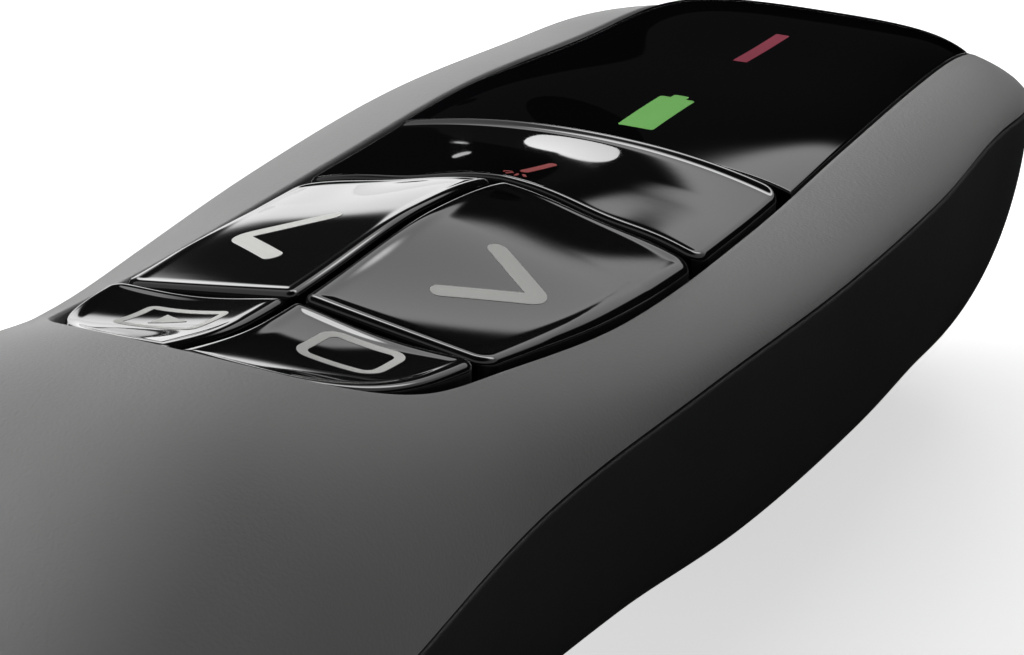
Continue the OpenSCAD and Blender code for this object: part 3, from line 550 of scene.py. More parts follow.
def arrow_top(x, y, d=None):
    """Ridge beside the middle line, a dish, a hollow in front and a raised outer edge."""
    d = outline_distance(x, d)
    front = 0.38 * bump(np.abs(x), at=6.7, width=4.2) * grow(y, -2.4, length=10, limit=2, power=2)
    dish = hollow(x, y, 0.55, middle_x=5.8, half_x=5.6, middle_y=-4, half_y=13)
    edge = (outer_edge(x, height=0.5, half_x=12, power=4.5)
            * grow(y, 3.9, length=-20, limit=2, power=1))
    return (upper_z(x, y) + lift(y) * across(x, y, k=1.8) - front - dish + edge
            + BEAD_H * bump(d, BEAD_AT, BEAD_W) - fillet(d, KEY_EDGE_R))


def small_top(x, y, d=None):
    """Ridge beside the middle line, a dish, and a raised outer edge."""
    d = outline_distance(x, d)
    dish = hollow(x, y, 0.68, middle_x=5.5, half_x=5.4, middle_y=-14.8, half_y=8.2, power=1.5)
    edge = outer_edge(x, height=0.45, half_x=11, power=4)
    return (upper_z(x, y) + lift(y) * across(x, y, k=1.3) - dish + edge
            + BEAD_H * bump(d, BEAD_AT, BEAD_W) - fillet(d, KEY_EDGE_R))


def laser_top(x, y, d=None):
    """Rises from a rim at the window to a lip at the rear, with a hollow on each side before it."""
    d = outline_distance(x, d)
    front = WINDOW_REAR + bow(WINDOW_REAR, x) - y
    v = np.clip(front / LASER_L, 0, 1)
    rim = RIM_H * bump(front, RIM_AT, RIM_W)
    sides = (0.46 * bump(np.abs(x), at=6.2, width=3.0)
             * grow(y, 16.6, length=-7.3, limit=1, power=1.5))
    bead = LIP_BEAD_H * bump((1 - v) * LASER_L, LIP_BEAD_AT, LIP_BEAD_W)
    return (upper_z(x, y) + rim - sides + bead + FRONT_CROWN * across(x, y, k=2) * (1 - v)
            + LIP_H * v**LIP_K * across(x, y, k=1.4) - fillet(d, LASER_EDGE_R))


def window_top(x, y, d=None):
    """Flat across, with a crown that rises a little towards the nose."""
    d = outline_distance(x, d)
    crown = WINDOW_CROWN + WINDOW_TILT * (y - WINDOW_MID) / WINDOW_HALF
    return upper_z(x, y) - WINDOW_SINK + crown * across(x, y, k=7) - fillet(d, WINDOW_EDGE_R)


# ---- Materials ----
SOCKETS = {"specular": "Specular IOR Level", "sheen": "Sheen Weight",
           "sheen_rough": "Sheen Roughness", "metallic": "Metallic",
           "transmission": "Transmission Weight", "ior": "IOR"}
# Cloudy variation of colour and roughness, and the fine grain of the surface
CLOUD_SCALE, CLOUD_DETAIL, GRAIN_DETAIL = 90, 3, 2
CLOUD_ENDS, ROUGH_SPREAD = (0.3, 0.7), 0.08


def noise(tree, where, scale, detail):
    """Output of a noise texture."""
    node = tree.nodes.new("ShaderNodeTexNoise")
    node.inputs["Scale"].default_value = scale
    node.inputs["Detail"].default_value = detail
    tree.links.new(where, node.inputs["Vector"])
    return node.outputs["Fac"]


def mapped(tree, value, low, high, start=0.0, end=1.0):
    """Output that runs from low to high while the value runs from start to end."""
    node = tree.nodes.new("ShaderNodeMapRange")
    for key, held in (("From Min", start), ("From Max", end), ("To Min", low), ("To Max", high)):
        node.inputs[key].default_value = held
    tree.links.new(value, node.inputs["Value"])
    return node.outputs["Result"]


def material(name, color, rough, grain_scale, grain_height, spots, **shader):
    """Moulded plastic or metal: a Principled shader whose colour, roughness and surface vary."""
    mat = bpy.data.materials.new(name)
    mat.use_nodes = True
    tree = mat.node_tree
    bsdf = tree.nodes["Principled BSDF"]
    for key, value in shader.items():
        bsdf.inputs[SOCKETS[key]].default_value = value
    where = tree.nodes.new("ShaderNodeTexCoord").outputs["Object"]
    cloud = noise(tree, where, CLOUD_SCALE, CLOUD_DETAIL)
    ramp = tree.nodes.new("ShaderNodeValToRGB")
    shades = zip(ramp.color_ramp.elements, (1 - spots, 1 + spots), CLOUD_ENDS)
    for element, share, place in shades:
        element.color = (*[min(1, c * share) for c in color], 1)
        element.position = place
    tree.links.new(cloud, ramp.inputs["Fac"])
    tree.links.new(ramp.outputs["Color"], bsdf.inputs["Base Color"])
    ends = rough * (1 - ROUGH_SPREAD), min(1, rough * (1 + ROUGH_SPREAD))
    tree.links.new(mapped(tree, cloud, *ends), bsdf.inputs["Roughness"])
    rise = tree.nodes.new("ShaderNodeBump")
    rise.inputs["Strength"].default_value = 1
    rise.inputs["Distance"].default_value = grain_height * MM
    tree.links.new(noise(tree, where, grain_scale, GRAIN_DETAIL), rise.inputs["Height"])
    tree.links.new(rise.outputs["Normal"], bsdf.inputs["Normal"])
    return mat


# Colour, roughness, fineness of the grain, its height in millimetres, spread of the colour
soft_grey = material("soft_grey", (0.166, 0.166, 0.165), 0.6, 5200, 0.02, 0.05, specular=0.3,
                     sheen=0.25, sheen_rough=0.5)
shell_black = material("shell_black", (0.023, 0.023, 0.0245), 0.5, 4200, 0.012, 0.06, specular=0.35)
gloss_black = material("gloss_black", (0.0035, 0.0035, 0.0037), 0.035, 900, 0.0006, 0.04,
                       specular=0.5)
window_black = material("window_black", (0.0025, 0.0025, 0.003), 0.02, 700, 0.0004, 0.04)
frame_black = material("frame_black", (0.006, 0.006, 0.006), 0.6, 3000, 0.01, 0.05)
icon_white = material("icon_white", (0.56, 0.56, 0.54), 0.5, 5000, 0.004, 0.03, specular=0.2)
icon_green = material("icon_green", (0.13, 0.40, 0.075), 0.5, 3000, 0.003, 0.05, specular=0.2)
icon_crimson = material("icon_crimson", (0.19, 0.01, 0.032), 0.5, 3000, 0.003, 0.05,
                        specular=0.15)
icon_red = material("icon_red", (0.30, 0.05, 0.05), 0.5, 3000, 0.003, 0.05, specular=0.2)
metal = material("metal", (0.6, 0.6, 0.6), 0.28, 1500, 0.004, 0.03, metallic=1.0)
brass = material("brass", (0.62, 0.44, 0.17), 0.3, 1500, 0.004, 0.04, metallic=1.0)
gold = material("gold", (0.8, 0.58, 0.22), 0.25, 1500, 0.003, 0.03, metallic=1.0)
board_green = material("board_green", (0.012, 0.10, 0.035), 0.35, 2600, 0.02, 0.18)
chip = material("chip", (0.015, 0.015, 0.016), 0.55, 4000, 0.01, 0.1)
ceramic = material("ceramic", (0.45, 0.3, 0.18), 0.5, 4000, 0.01, 0.1)
led_green = material("led_green", (0.1, 0.6, 0.15), 0.2, 900, 0.001, 0.05)
led_red = material("led_red", (0.6, 0.03, 0.05), 0.2, 900, 0.001, 0.05)
clear = material("clear", (0.85, 0.9, 0.9), 0.12, 900, 0.001, 0.02, transmission=0.9, ior=1.49)
lens_glass = material("lens_glass", (0.9, 0.95, 1.0), 0.03, 900, 0.0003, 0.02, transmission=1.0)
cell_wrap = material("cell_wrap", (0.3, 0.2, 0.05), 0.25, 1200, 0.002, 0.12, metallic=0.6)
white_plastic = material("white_plastic", (0.75, 0.75, 0.72), 0.4, 3000, 0.004, 0.03)
switch_body = material("switch_body", (0.03, 0.03, 0.032), 0.45, 3000, 0.006, 0.08)
plunger_red = material("plunger_red", (0.45, 0.04, 0.04), 0.4, 3000, 0.004, 0.06)

# ---- Shells ----
# Openings: the receiver's slot, the beam and the bezel's seat, the knob's slot, screw recesses
PAST, PAST_SIDE = 3, 2
TAIL_SLOT, SLOT_Y = round_rect(hx=8.75, hy=3.95, r=1.0, cx=0, cy=11.6), -48.35
BEAM_Z, BEAM_R, BEAM_Y, SEAT_R, SEAT_Y = 11.5, 1.6, 50, 2.8, 55.55
KNOB_SLOT, KNOB_SLOT_X = round_rect(hx=4.05, hy=1.3, r=0.5, cx=25.15, cy=14.6), -13.9
SCREW_X, SCREW_Y, SCREW_R, SCREW_ENDS = 12.595, -30.05, 1.9, (-2, 7)


def slot_cutter():
    """Cutter for the receiver's slot, which goes through both shells."""
    return prism("slot_cut", TAIL_SLOT, 1, -HALF_L - PAST, SLOT_Y)


upper = housing("upper_housing", 1, panel_loop, edge_r=0.28, counts=(4, 7, 84), rim=UPPER_RIM)
cut(upper, slot_cutter())
dress(upper, "case", soft_grey, "soft_grey", "upper_shell")

lower = housing("lower_housing", -1, door_loop, edge_r=0.25, counts=(3, 5, 78), rim=LOWER_RIM)
cutters = [slot_cutter(),
           prism("bezel_cut", circle(SEAT_R, 0, BEAM_Z), 1, SEAT_Y, HALF_L + PAST),
           prism("beam_cut", circle(BEAM_R, 0, BEAM_Z, 32), 1, BEAM_Y, HALF_L + PAST),
           prism("knob_cut", KNOB_SLOT, 0, -BODY_W / 2 - PAST_SIDE, KNOB_SLOT_X)]
for s in (-1, 1):
    cutters.append(prism("screw_cut", circle(SCREW_R, s * SCREW_X, SCREW_Y, 40), 2, *SCREW_ENDS))
cut(lower, *cutters)
dress(lower, "case", shell_black, "matte_black", "lower_shell")

# ---- Window and keys ----
POST_R, POST_FOOT, POST_TOP = 1.5, 19.9, KEY_UNDER + 0.1
HALF_GAP = KEY_GAP / 2
window = panel_piece("window_pane", 0, (WINDOW_REAR, PANEL_FRONT), (HALF_GAP, WINDOW_GAP), 0.0,
                     WINDOW_GAP, window_top, FRAME_TOP, 110, 130)
dress(window, "case", window_black, "gloss_black", "window")


def with_post(cap, x, y):
    """Adds the post that reaches down to the switch's plunger."""
    return merge(cap, prism("post", circle(POST_R, x, y), 2, POST_FOOT, POST_TOP))


laser = panel_piece("laser_cap", 0, (LASER_REAR, WINDOW_REAR), (HALF_GAP, HALF_GAP), 1.2,
                    EDGE_GAP, laser_top, KEY_UNDER, 130, 90)
dress(with_post(laser, 0, 15.0), "laser_key_body", gloss_black, "gloss_black", "laser_key")
for side, front, rear in ((-1, "back", "slideshow"), (1, "next", "blank")):
    cap = panel_piece(front + "_cap", side, (ARROW_REAR, LASER_REAR), (HALF_GAP, HALF_GAP),
                      1.0, EDGE_GAP, arrow_top, KEY_UNDER, 90, 120)
    dress(with_post(cap, 6.4 * side, -1.05), front + "_key_body", gloss_black, "gloss_black",
          front + "_key")
    cap = panel_piece(rear + "_cap", side, (PANEL_REAR, ARROW_REAR), (EDGE_GAP + 0.25, HALF_GAP),
                      1.0, EDGE_GAP, small_top, KEY_UNDER, 90, 90)
    dress(with_post(cap, 5.6 * side, -15.95), rear + "_key_body", gloss_black, "gloss_black",
          rear + "_key")

# ---- Printed marks ----
ARROW_HALF, BEAM_HALF, RAY_HALF, RAY_ENDS = 0.55, 0.27, 0.09, (0.45, 1.0)
RAYS_AT, RAYS_TOWARD = np.array([0.28, 12.0]), math.atan2(-2.9, -0.55)
CELL_X, CELL_REAR, CELL_FRONT, CELL_TIP = 1.15, 24.45, 30.28, 30.85
CELL_HALF, TIP_HALF, CELL_R = 1.15, 0.5, 0.18
BAR_X, BAR_REAR, BAR_FRONT, BAR_HALF, BAR_R = 0.92, 39.6, 46.3, 0.47, 0.12


def frame_mark(name, outline, half):
    """Printed frame along a closed outline on one of the small keys."""
    return ribbon(name, route([*outline, outline[0]], 0.01)[:-1], half, small_top, True)


def wedge_mark(points, half_start, half_end, surface, **look):
    """Printed wedge that widens or narrows along its way."""
    path = route(points, 0.1)
    return ribbon("wedge", path, np.linspace(half_start, half_end, len(path)), surface, **look)


def stroke_mark(name, path, half, surface):
    """Printed stroke with round ends."""
    return ribbon(name, path, round_ends(path, half), surface)


for side, name in ((-1, "back"), (1, "next")):
    arm = route([(4.6 * side, 1.0), (9.2 * side, -2.2), (4.6 * side, -5.6)], 0.9)
    mark = stroke_mark(name + "_arrow", arm, ARROW_HALF, arrow_top)
    dress(mark, name + "_key_body", icon_white, "white_plastic")
outline = round_rect(hx=2.1, hy=1.6, r=0.75, cx=5.3, cy=-14.4, n=12)
mark = frame_mark("blank_mark", outline, half=0.27)
dress(mark, "blank_key_body", icon_white, "white_plastic")
outline = round_rect(hx=2.2, hy=1.6, r=0.3, cx=-4.5, cy=-15.3, n=12)
mark = frame_mark("show_mark", outline, half=0.22)
mark = merge(mark, wedge_mark([(-5.3, -15.3), (-3.6, -15.3)], 0.85, 0.03, small_top))
dress(mark, "slideshow_key_body", icon_white, "white_plastic")
mark = stroke_mark("laser_mark", route([(0.3, 12.1), (0.85, 15.0)], 0.1), BEAM_HALF, laser_top)
for turn in (-55, -20, 20, 55):
    a = math.radians(turn) + RAYS_TOWARD
    ray = RAYS_AT + np.outer(np.linspace(*RAY_ENDS, 9), [math.cos(a), math.sin(a)])
    mark = merge(mark, stroke_mark("ray", ray, RAY_HALF, laser_top))
dress(mark, "laser_key_body", icon_red, "led_red")

cell_y = np.r_[np.linspace(CELL_REAR, CELL_FRONT, 60), np.linspace(30.3, CELL_TIP, 30)]
on_cell = cell_y <= CELL_FRONT
near = np.minimum(cell_y - CELL_REAR, np.where(on_cell, CELL_FRONT, CELL_TIP) - cell_y)
half = np.where(on_cell, CELL_HALF, TIP_HALF) - fillet(np.maximum(0, near), CELL_R)
mark = ribbon("battery_mark", np.c_[np.full(len(cell_y), CELL_X), cell_y], half, window_top)
dress(mark, "case", icon_green, "led_green")
bar = route([(BAR_X, BAR_REAR), (BAR_X, BAR_FRONT)], 0.1)
near = np.minimum(bar[:, 1] - BAR_REAR, BAR_FRONT - bar[:, 1])
mark = ribbon("laser_bar", bar, BAR_HALF - fillet(near, BAR_R), window_top)
dress(mark, "case", icon_crimson, "led_red")

# ---- Battery door ----
COVER_HALF, COVER_REAR, COVER_FRONT, COVER_R, COVER_WALL = 10.7, -17.0, 30.9, 1.7, 1.7
COVER_END, COVER_EDGE_R = 0.5, 0.3
# Finger grooves: front end of their fine rows and spacing of those, first groove, pitch, width,
# half length, how soon they end and depth
GROOVES_FRONT, GROOVE_ROWS, GROOVE_1, GROOVE_PITCH = -6, 0.075, -14.2, 1.6
GROOVE_W, GROOVE_HALF, GROOVE_FADE, GROOVE_H = 0.3, 5.0, 0.12, 0.42
# Hooks under the rim in front of the door
HOOK_X, HOOK_HALF, HOOK_REAR, HOOK_FRONT, HOOK_FOOT = 6, 1.5, 29.3, 32.7, 1.25
HOOK_H, HOOK_BEVEL, HOOK_EDGE_R, HOOK_GAP, HOOK_OVER_X = 0.8, 0.3, 0.1, 0.3, 7.5
ARROW_SINK = 0.14

yd = np.r_[COVER_REAR + np.linspace(0, COVER_END, 7)[:-1],
           np.arange(COVER_REAR + COVER_END, GROOVES_FRONT, GROOVE_ROWS),
           np.linspace(GROOVES_FRONT, COVER_FRONT - COVER_END, 46)[:-1],
           np.linspace(COVER_FRONT - COVER_END, COVER_FRONT, 7)]
half = COVER_HALF - fillet(np.minimum(yd - COVER_REAR, COVER_FRONT - yd), COVER_R)
xd = half[:, None] * np.sin(np.linspace(-1, 1, 61) * math.pi / 2)[None, :]
ys = np.broadcast_to(yd[:, None], xd.shape)
flat = np.c_[xd.ravel(), ys.ravel()]
edge = distance_to(flat, flat[border(*xd.shape)]).reshape(xd.shape)
groove = sum(np.exp(-((ys - (GROOVE_1 + GROOVE_PITCH * k)) / GROOVE_W)**4) for k in range(5))
groove = GROOVE_H * groove / (1 + np.exp((np.abs(xd) - GROOVE_HALF) / GROOVE_FADE))
door = plate("battery_door_cover", xd, ys, lower_z(xd, ys) + fillet(edge, COVER_EDGE_R) + groove,
             lower_z(xd, ys, COVER_WALL))
z = float(lower_z(HOOK_OVER_X, COVER_FRONT, WALL)) + HOOK_GAP
profile = [(HOOK_REAR, HOOK_FOOT), (COVER_FRONT, HOOK_FOOT), (COVER_FRONT, z), (HOOK_FRONT, z),
           (HOOK_FRONT, z + HOOK_H - HOOK_BEVEL), (HOOK_FRONT - HOOK_BEVEL, z + HOOK_H),
           (HOOK_REAR, z + HOOK_H)]
for x in (-HOOK_X, HOOK_X):
    hook = prism("hook", profile, 0, x - HOOK_HALF, x + HOOK_HALF)
    door = merge(door, soften(hook, HOOK_EDGE_R, 2))
arrow = wedge_mark([(0, -4.6), (0, -2.4)], 0.05, 1.7, lambda x, y: lower_z(x, y) - ARROW_SINK,
                   rise=0, bands=12)
dress(merge(door, arrow), "door", shell_black, "matte_black", "battery_door")


# ---- Receiver, laser bezel and knob ----
WELL_INSIDE, HALVINGS = 40.0, 40


def end_y(x, z, sign):
    """Place of the nose's (1) or tail's (-1) surface at a point of its face."""
    out, inner = np.full(np.shape(x), sign * HALF_L), np.full(np.shape(x), sign * WELL_INSIDE)
    for _ in range(HALVINGS):
        mid = (out + inner) / 2
        within = (lower_z(x, mid) < z) & (z < upper_z(x, mid)) & (radius(x, mid) < 1)
        inner, out = np.where(within, mid, inner), np.where(within, out, mid)
    return inner


def end_rows(loops, sign):
    """Rows (x, y, z) on the nose or tail for loops of points (x, z) with a set-back each."""
    return [np.c_[loop[:, 0], end_y(loop[:, 0], loop[:, 1], sign) - sign * back, loop[:, 1]]
            for loop, back in loops]


def level_row(loop, y):
    """Row (x, y, z) of a loop of points (x, z) at one place along the body."""
    return np.c_[loop[:, 0], np.full(len(loop), y), loop[:, 1]]


RECEIVER_HALF_W, RECEIVER_HALF_H, RECEIVER_Z = 8.5, 3.7, 11.603
CORNER_R, CORNER_MIN, RECEIVER_EDGE_R = 1.0, 0.15, 0.3


def receiver_loop(i):
    """Outline of the receiver's housing, shrunk by i."""
    corner = max(CORNER_MIN, CORNER_R - i)
    return np.array(round_rect(RECEIVER_HALF_W - i, RECEIVER_HALF_H - i, corner, 0, RECEIVER_Z, 10))


# The receiver's end follows the tail, then come its sides and its rounded front edge
loops = [(receiver_loop(i), 0) for i in (3.6, 3.2, 2.6, 2.0, 1.4, 0.8, 0.5)]
for a in np.linspace(0.2, math.pi / 2, 6):
    loop = receiver_loop(RECEIVER_EDGE_R * (1 - math.sin(a)))
    loops.append((loop, RECEIVER_EDGE_R * (1 - math.cos(a))))
rows = end_rows(loops, -1)
for i, y in ((0, SLOT_Y), (0, -40), (0, -33.3), (0, -33.0), (0.08, -32.82), (0.25, -32.75)):
    rows.append(level_row(receiver_loop(i), y))
n = len(rows[0])
faces = grid_faces(len(rows), n, False, True)
faces += [tuple(range(n)), tuple(range((len(rows) - 1) * n, len(rows) * n))]
receiver = new_object("receiver_cap", np.concatenate(rows), faces)
dress(receiver, "receiver", shell_black, "matte_black", "receiver_housing")


def nose_circle(r):
    """Circle round the laser's beam."""
    return np.array(circle(r, 0, BEAM_Z, 64))


# The bezel's ring: funnel, face, outer edge, then the two loops of its back
FUNNEL_BACK, FUNNEL_R, FACE_R, BEZEL_EDGE_R, BEZEL_BACK_Y = 0.5, 0.4, 2.55, 0.2, 55.6
loops = [(nose_circle(BEAM_R), FUNNEL_BACK)]
for a in np.linspace(0, math.pi / 2, 6):
    loop = nose_circle(BEAM_R + FUNNEL_R * (1 - math.cos(a)))
    loops.append((loop, FUNNEL_R * (1 - math.sin(a))))
loops += [(nose_circle(r), 0) for r in (2.2, 2.4, 2.5)]
for a in np.linspace(0.3, math.pi / 2, 5):
    loop = nose_circle(FACE_R + BEZEL_EDGE_R * math.sin(a))
    loops.append((loop, BEZEL_EDGE_R * (1 - math.cos(a))))
rows = end_rows(loops, 1)
rows += [level_row(nose_circle(r), BEZEL_BACK_Y) for r in (FACE_R + BEZEL_EDGE_R, BEAM_R)]
faces = grid_faces(len(rows), len(rows[0]), True, True)
bezel = new_object("bezel_ring", np.concatenate(rows), faces)
dress(bezel, "case", gloss_black, "gloss_black", "laser_bezel")

KNOB_REAR, KNOB_MID, KNOB_FRONT, KNOB_OUT, KNOB_IN = 21.4, 23.9, 26.4, -18.8, -16.8
KNOB_EDGE_R, KNOB_BEVEL, RIDGE_STEP, RIDGE_W, RIDGE_OUT = 0.4, 0.12, 0.8, 0.19, 0.27
KNOB_ENDS, STEM_ENDS = (13.6, 15.6), (14.0, 15.2)
STEM = [(-16.9, 23.0), (-16.9, 24.8), (-14.17, 24.8), (-14.17, 23.0)]
yk = np.linspace(KNOB_REAR, KNOB_FRONT, 101)
near = np.minimum(yk - KNOB_REAR, KNOB_FRONT - yk)
ridges = sum(np.exp(-((yk - (KNOB_MID + RIDGE_STEP * k)) / RIDGE_W)**4) for k in range(-2, 3))
profile = list(zip(KNOB_OUT + RIDGE_OUT * ridges + fillet(near, KNOB_EDGE_R), yk))
knob = prism("knob_cap", [(KNOB_IN, KNOB_REAR), *profile, (KNOB_IN, KNOB_FRONT)], 2, *KNOB_ENDS)
stem = prism("stem", STEM, 2, *STEM_ENDS)
dress(merge(soften(knob, KNOB_BEVEL), stem), "knob", shell_black, "matte_black", "power_knob")

# ---- Finishes of the solids that stay as they are ----
FINISH = {
    frame_black: ("key_frame", "receiver_dock", "battery_tray"),
    board_green: ("main_board", "laser_board"),
    chip: ("processor_chip", "radio_chip", "power_switch"),
    metal: ("board_screws", "housing_screws", "front_contact", "rear_left_contact",
            "rear_right_contact", "front_spring", "rear_spring", "receiver_plug", "crystal"),
    gold: ("antenna",), ceramic: ("capacitors",), led_green: ("battery_led",),
    led_red: ("laser_led",), clear: ("battery_light_guide", "laser_light_guide"),
    cell_wrap: ("cell_left", "cell_right"), white_plastic: ("receiver_tongue",),
    brass: ("laser_barrel",), lens_glass: ("laser_lens",),
    plunger_red: tuple(k + "_plunger" for k in ("laser", "back", "next", "slideshow", "blank")),
    switch_body: tuple(k + "_switch" for k in ("laser", "back", "next", "slideshow", "blank"))}
for finish, names in FINISH.items():
    for name in names:
        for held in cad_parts[name].material_slots:
            held.material = finish

# ---- Camera ----
CAMERA_AT = Vector((78.6866, -133.5641, 83.4695)) * MM
TURN, DOWN, ROLL = math.radians(28.4591), math.radians(22.3634), math.radians(0.4106)
SENSOR, FOCAL_PIXELS, PHOTO_PIXELS = 36, 3153.64, 1024
cam = bpy.data.objects.new("camera", bpy.data.cameras.new("camera"))
bpy.context.scene.collection.objects.link(cam)
bpy.context.scene.camera = cam
look = Vector((-math.sin(TURN) * math.cos(DOWN), math.cos(TURN) * math.cos(DOWN), -math.sin(DOWN)))
level_right = Vector((math.cos(TURN), math.sin(TURN), 0))
level_up = level_right.cross(look)
right = math.cos(ROLL) * level_right + math.sin(ROLL) * level_up
up = -math.sin(ROLL) * level_right + math.cos(ROLL) * level_up
cam.matrix_world = Matrix.Translation(CAMERA_AT) @ Matrix((right, up, -look)).transposed().to_4x4()
cam.data.sensor_width = SENSOR
cam.data.lens = FOCAL_PIXELS / PHOTO_PIXELS * SENSOR
cam.data.clip_start, cam.data.clip_end = 0.005, 20
cam.data.dof.use_dof = False


# ---- Stage, in metres and degrees ----
DARK = 0.012
CENTRE_Z, TABLE_Z, FLOOR_Z, FLOOR_HALF = 0.022, -0.0001, -0.0002, 3
OPEN_CORNERS = [(-0.03, 0.02, TABLE_Z), (-0.005, 0.066, TABLE_Z)]
KEYS_BEHIND = ("back_cap", "next_cap", "slideshow_cap", "blank_cap")
LAMP_DISTANCE = 0.9


def glow_material(name, strength, attribute=None):
    """Plain glow of one strength, or of the strength that an attribute of the mesh holds."""
    mat = bpy.data.materials.new(name)
    mat.use_nodes = True
    nodes, links = mat.node_tree.nodes, mat.node_tree.links
    nodes.clear()
    out = nodes.new("ShaderNodeOutputMaterial")
    glow = nodes.new("ShaderNodeEmission")
    glow.inputs["Strength"].default_value = strength
    if attribute:
        level = nodes.new("ShaderNodeAttribute")
        level.attribute_name = attribute
        links.new(level.outputs["Fac"], glow.inputs["Strength"])
    links.new(glow.outputs[0], out.inputs[0])
    return mat


def reflection_only(obj):
    """Stage piece that shows only in reflections."""
    obj.visible_camera = obj.visible_diffuse = obj.visible_shadow = False
    obj.visible_transmission = obj.visible_volume_scatter = False
    bpy.context.scene.collection.objects.link(obj)
    return obj


def toward(az, el):
    """Direction by azimuth from the nose and elevation."""
    a, e = math.radians(az), math.radians(el)
    return Vector((math.sin(a) * math.cos(e), math.cos(a) * math.cos(e), math.sin(e)))


def soft_step(v, edge, width):
    """0 below the edge, 1 above it."""
    return 1 / (1 + np.exp(-4 * (v - edge) / width))


def studio_level(az, el):
    """Brightness of the studio round the object, by azimuth from the nose and elevation."""
    over = soft_step(el, edge=27, width=1.6) * (1 - soft_step(el, edge=52, width=8))
    wide = soft_step(az, edge=-42, width=4) * (1 - soft_step(az, edge=30, width=12))
    strip = soft_step(el, edge=42.5, width=2) * (1 - soft_step(el, edge=55, width=3))
    return DARK + 1.6 * over * wide + 0.7 * over * (1 - wide) + 7 * strip * wide


def horizon_level(az, el):
    """Brightness of the low card at the front left."""
    top = 1.8 + 5.5 * soft_step(az, -38, 2) * (1 - soft_step(az, -31.5, 1.5))
    low = (1 - soft_step(el, top, 3)) * (1 - soft_step(az, 0, 6)) * soft_step(az, -43, 3)
    return DARK + 2.0 * low


def sky_card(name, azimuths, elevations, distance, level, wrap):
    """Part of a sphere round the object, as bright as level(azimuth, elevation)."""
    grid_az, grid_el = np.meshgrid(azimuths, elevations)
    a, e = np.radians(grid_az), np.radians(grid_el)
    points = np.stack([np.sin(a) * np.cos(e), np.cos(a) * np.cos(e), np.sin(e)], axis=-1)
    points = points.reshape(-1, 3) * distance + [0, 0, CENTRE_Z]
    mesh = bpy.data.meshes.new(name)
    mesh.from_pydata(points.tolist(), [], grid_faces(len(elevations), len(azimuths), False, wrap))
    mesh.attributes.new("level", "FLOAT", "POINT").data.foreach_set(
        "value", level(grid_az, grid_el).ravel())
    mesh.materials.append(glow_material(name, 1.0, "level"))
    return reflection_only(bpy.data.objects.new(name, mesh))


def mirrored_by(obj, *names):
    """Keeps a stage piece out of the reflections of all but the named pieces."""
    group = bpy.data.collections.new(obj.name + "_mirrored_by")
    for name in names:
        group.objects.link(bpy.data.objects[name])
    obj.light_linking.receiver_collection = group


def card(name, points, strength):
    """Flat card through the points."""
    mesh = bpy.data.meshes.new(name)
    mesh.from_pydata(points, [], [tuple(range(len(points)))])
    mesh.materials.append(glow_material(name, strength))
    return reflection_only(bpy.data.objects.new(name, mesh))


def disc_card(name, at, facing, rx, ry, strength, spin):
    """Oval card with its centre and aim in millimetres, which only the laser key mirrors."""
    turns = np.linspace(0, 2 * math.pi, 49)[:-1]
    obj = card(name, [(rx * MM * math.cos(t), ry * MM * math.sin(t), 0) for t in turns], strength)
    at, facing = Vector(at) * MM, Vector(facing) * MM
    obj.matrix_world = (Matrix.Translation(at) @ (facing - at).to_track_quat(
        "Z", "Y").to_matrix().to_4x4() @ Matrix.Rotation(spin, 4, "Z"))
    mirrored_by(obj, "laser_cap")


def table_arc(azimuths, distance):
    """Points on the table round the object."""
    return [(*(toward(az, 0) * distance).xy, TABLE_Z) for az in azimuths]


# Half sphere of studio, and a low bright card at the front left for the keys behind the laser key
sky_card("studio", np.linspace(-180, 180, 361)[:-1],
         np.r_[np.linspace(-0.6, 50, 170), np.linspace(52, 90, 14)], 2.0, studio_level, True)
mirrored_by(sky_card("horizon", np.linspace(-52, 8, 121), np.linspace(-0.6, 13, 60), 1.9,
                     horizon_level, False), *KEYS_BEHIND)

# Two oval lamps as the laser key shows them
disc_card("round_lamp", at=(-21.5, 60.4, 40.9), facing=(0.1, 18.4, 24.3), rx=5.83, ry=2.59,
          strength=3.8, spin=0.68)
disc_card("small_lamp", at=(-32.3, 57.6, 33.6), facing=(-6.1, 16.1, 24.0), rx=1.2, ry=0.6,
          strength=1.7, spin=0.56)

# Dark table card that keeps the pale floor out of the reflections, open at the front left, and a
# bright one in that opening
card("table_card", table_arc(np.arange(0, 317.1, 5), 0.6) + OPEN_CORNERS, DARK)
mirrored_by(card("table_glow", table_arc((-45, -30, -15, 0), 1.9) + OPEN_CORNERS[::-1], 1.7),
            *KEYS_BEHIND)


def lamp(name, az, el, size, level):
    """Soft lamp that lights a white face turned to it to the given level."""
    data = bpy.data.lights.new(name, "AREA")
    data.shape, data.size, data.size_y = "RECTANGLE", *size
    data.energy = level * (math.pi * LAMP_DISTANCE)**2
    obj = bpy.data.objects.new(name, data)
    bpy.context.scene.collection.objects.link(obj)
    at = toward(az, el) * LAMP_DISTANCE
    obj.matrix_world = Matrix.Translation(at) @ (-at).to_track_quat("-Z", "Y").to_matrix().to_4x4()
    obj.visible_glossy = False


lamp("left", az=-115, el=12, size=(0.7, 0.3), level=1.75)
lamp("left_high", az=-90, el=32, size=(0.7, 0.4), level=0.22)
lamp("top", az=-20, el=80, size=(0.6, 0.6), level=0.2)
lamp("front_left", az=-30, el=32, size=(0.5, 0.4), level=0.12)
lamp("right", az=60, el=14, size=(0.6, 0.3), level=0.05)


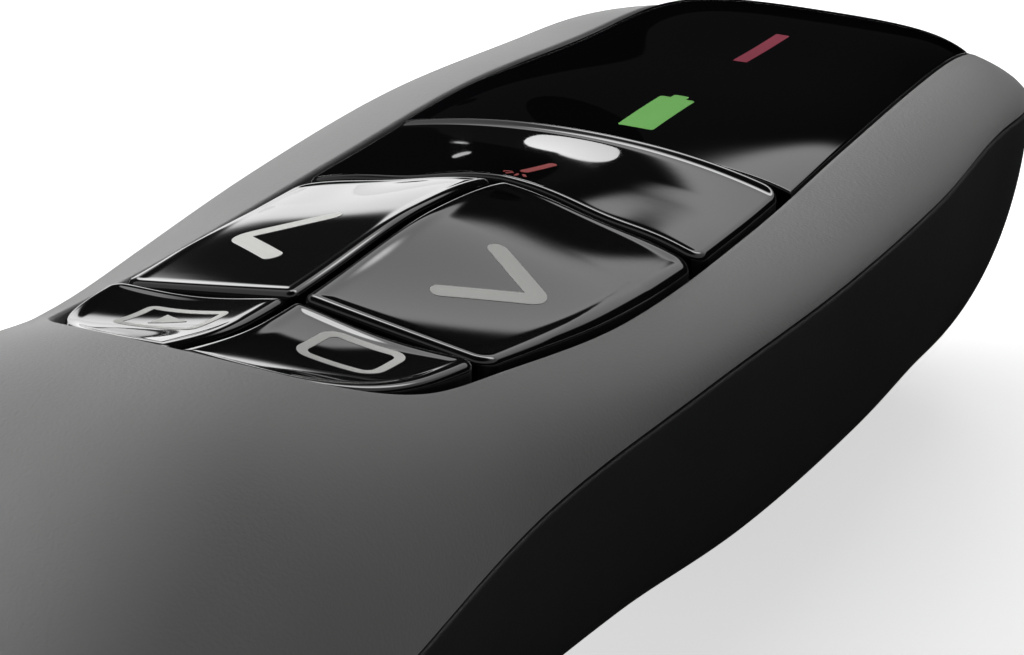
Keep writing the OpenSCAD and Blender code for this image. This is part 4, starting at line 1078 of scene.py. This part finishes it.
def combined(tree, operation, first, second):
    """Output of a maths node over two outputs."""
    node = tree.nodes.new("ShaderNodeMath")
    node.operation = operation
    tree.links.new(first, node.inputs[0])
    tree.links.new(second, node.inputs[1])
    return node.outputs[0]


def seen_directly(tree, low, high):
    """Strength that is high for camera, glossy and transmission rays, and low for others."""
    path = tree.nodes.new("ShaderNodeLightPath")
    seen = path.outputs["Is Camera Ray"]
    for kind in ("Is Glossy Ray", "Is Transmission Ray"):
        seen = combined(tree, "MAXIMUM", seen, path.outputs[kind])
    return mapped(tree, seen, low, high)


# Floor: pale, with its own glow rising from NEAR_GLOW by the object to 1 further out
NEAR_GLOW, GLOW_START, GLOW_END = 0.62, 0.12, 0.5
WORLD_LIGHT = 0.1
floor_mat = bpy.data.materials.new("floor")
floor_mat.use_nodes = True
nt = floor_mat.node_tree
base = nt.nodes["Principled BSDF"]
base.inputs["Base Color"].default_value = (0.8, 0.8, 0.8, 1)
base.inputs["Roughness"].default_value = 0.9
base.inputs["Emission Color"].default_value = (1, 1, 1, 1)
far = nt.nodes.new("ShaderNodeVectorMath")
far.operation = "LENGTH"
nt.links.new(nt.nodes.new("ShaderNodeTexCoord").outputs["Object"], far.inputs[0])
glow = mapped(nt, far.outputs["Value"], NEAR_GLOW, 1.0, GLOW_START, GLOW_END)
glow = combined(nt, "MULTIPLY", glow, seen_directly(nt, 0.0, 1.0))
nt.links.new(glow, base.inputs["Emission Strength"])
mesh = bpy.data.meshes.new("floor")
corners = ((-1, -1), (1, -1), (1, 1), (-1, 1))
mesh.from_pydata([(x * FLOOR_HALF, y * FLOOR_HALF, FLOOR_Z) for x, y in corners], [],
                 [(0, 1, 2, 3)])
floor = bpy.data.objects.new("floor", mesh)
bpy.context.scene.collection.objects.link(floor)
mesh.materials.append(floor_mat)

world = bpy.data.worlds.new("world")
bpy.context.scene.world = world
world.use_nodes = True
background = world.node_tree.nodes["Background"]
background.inputs["Color"].default_value = (1, 1, 1, 1)
level = seen_directly(world.node_tree, WORLD_LIGHT, 1.0)
world.node_tree.links.new(level, background.inputs["Strength"])

view_settings = bpy.context.scene.view_settings
view_settings.view_transform = "Standard"
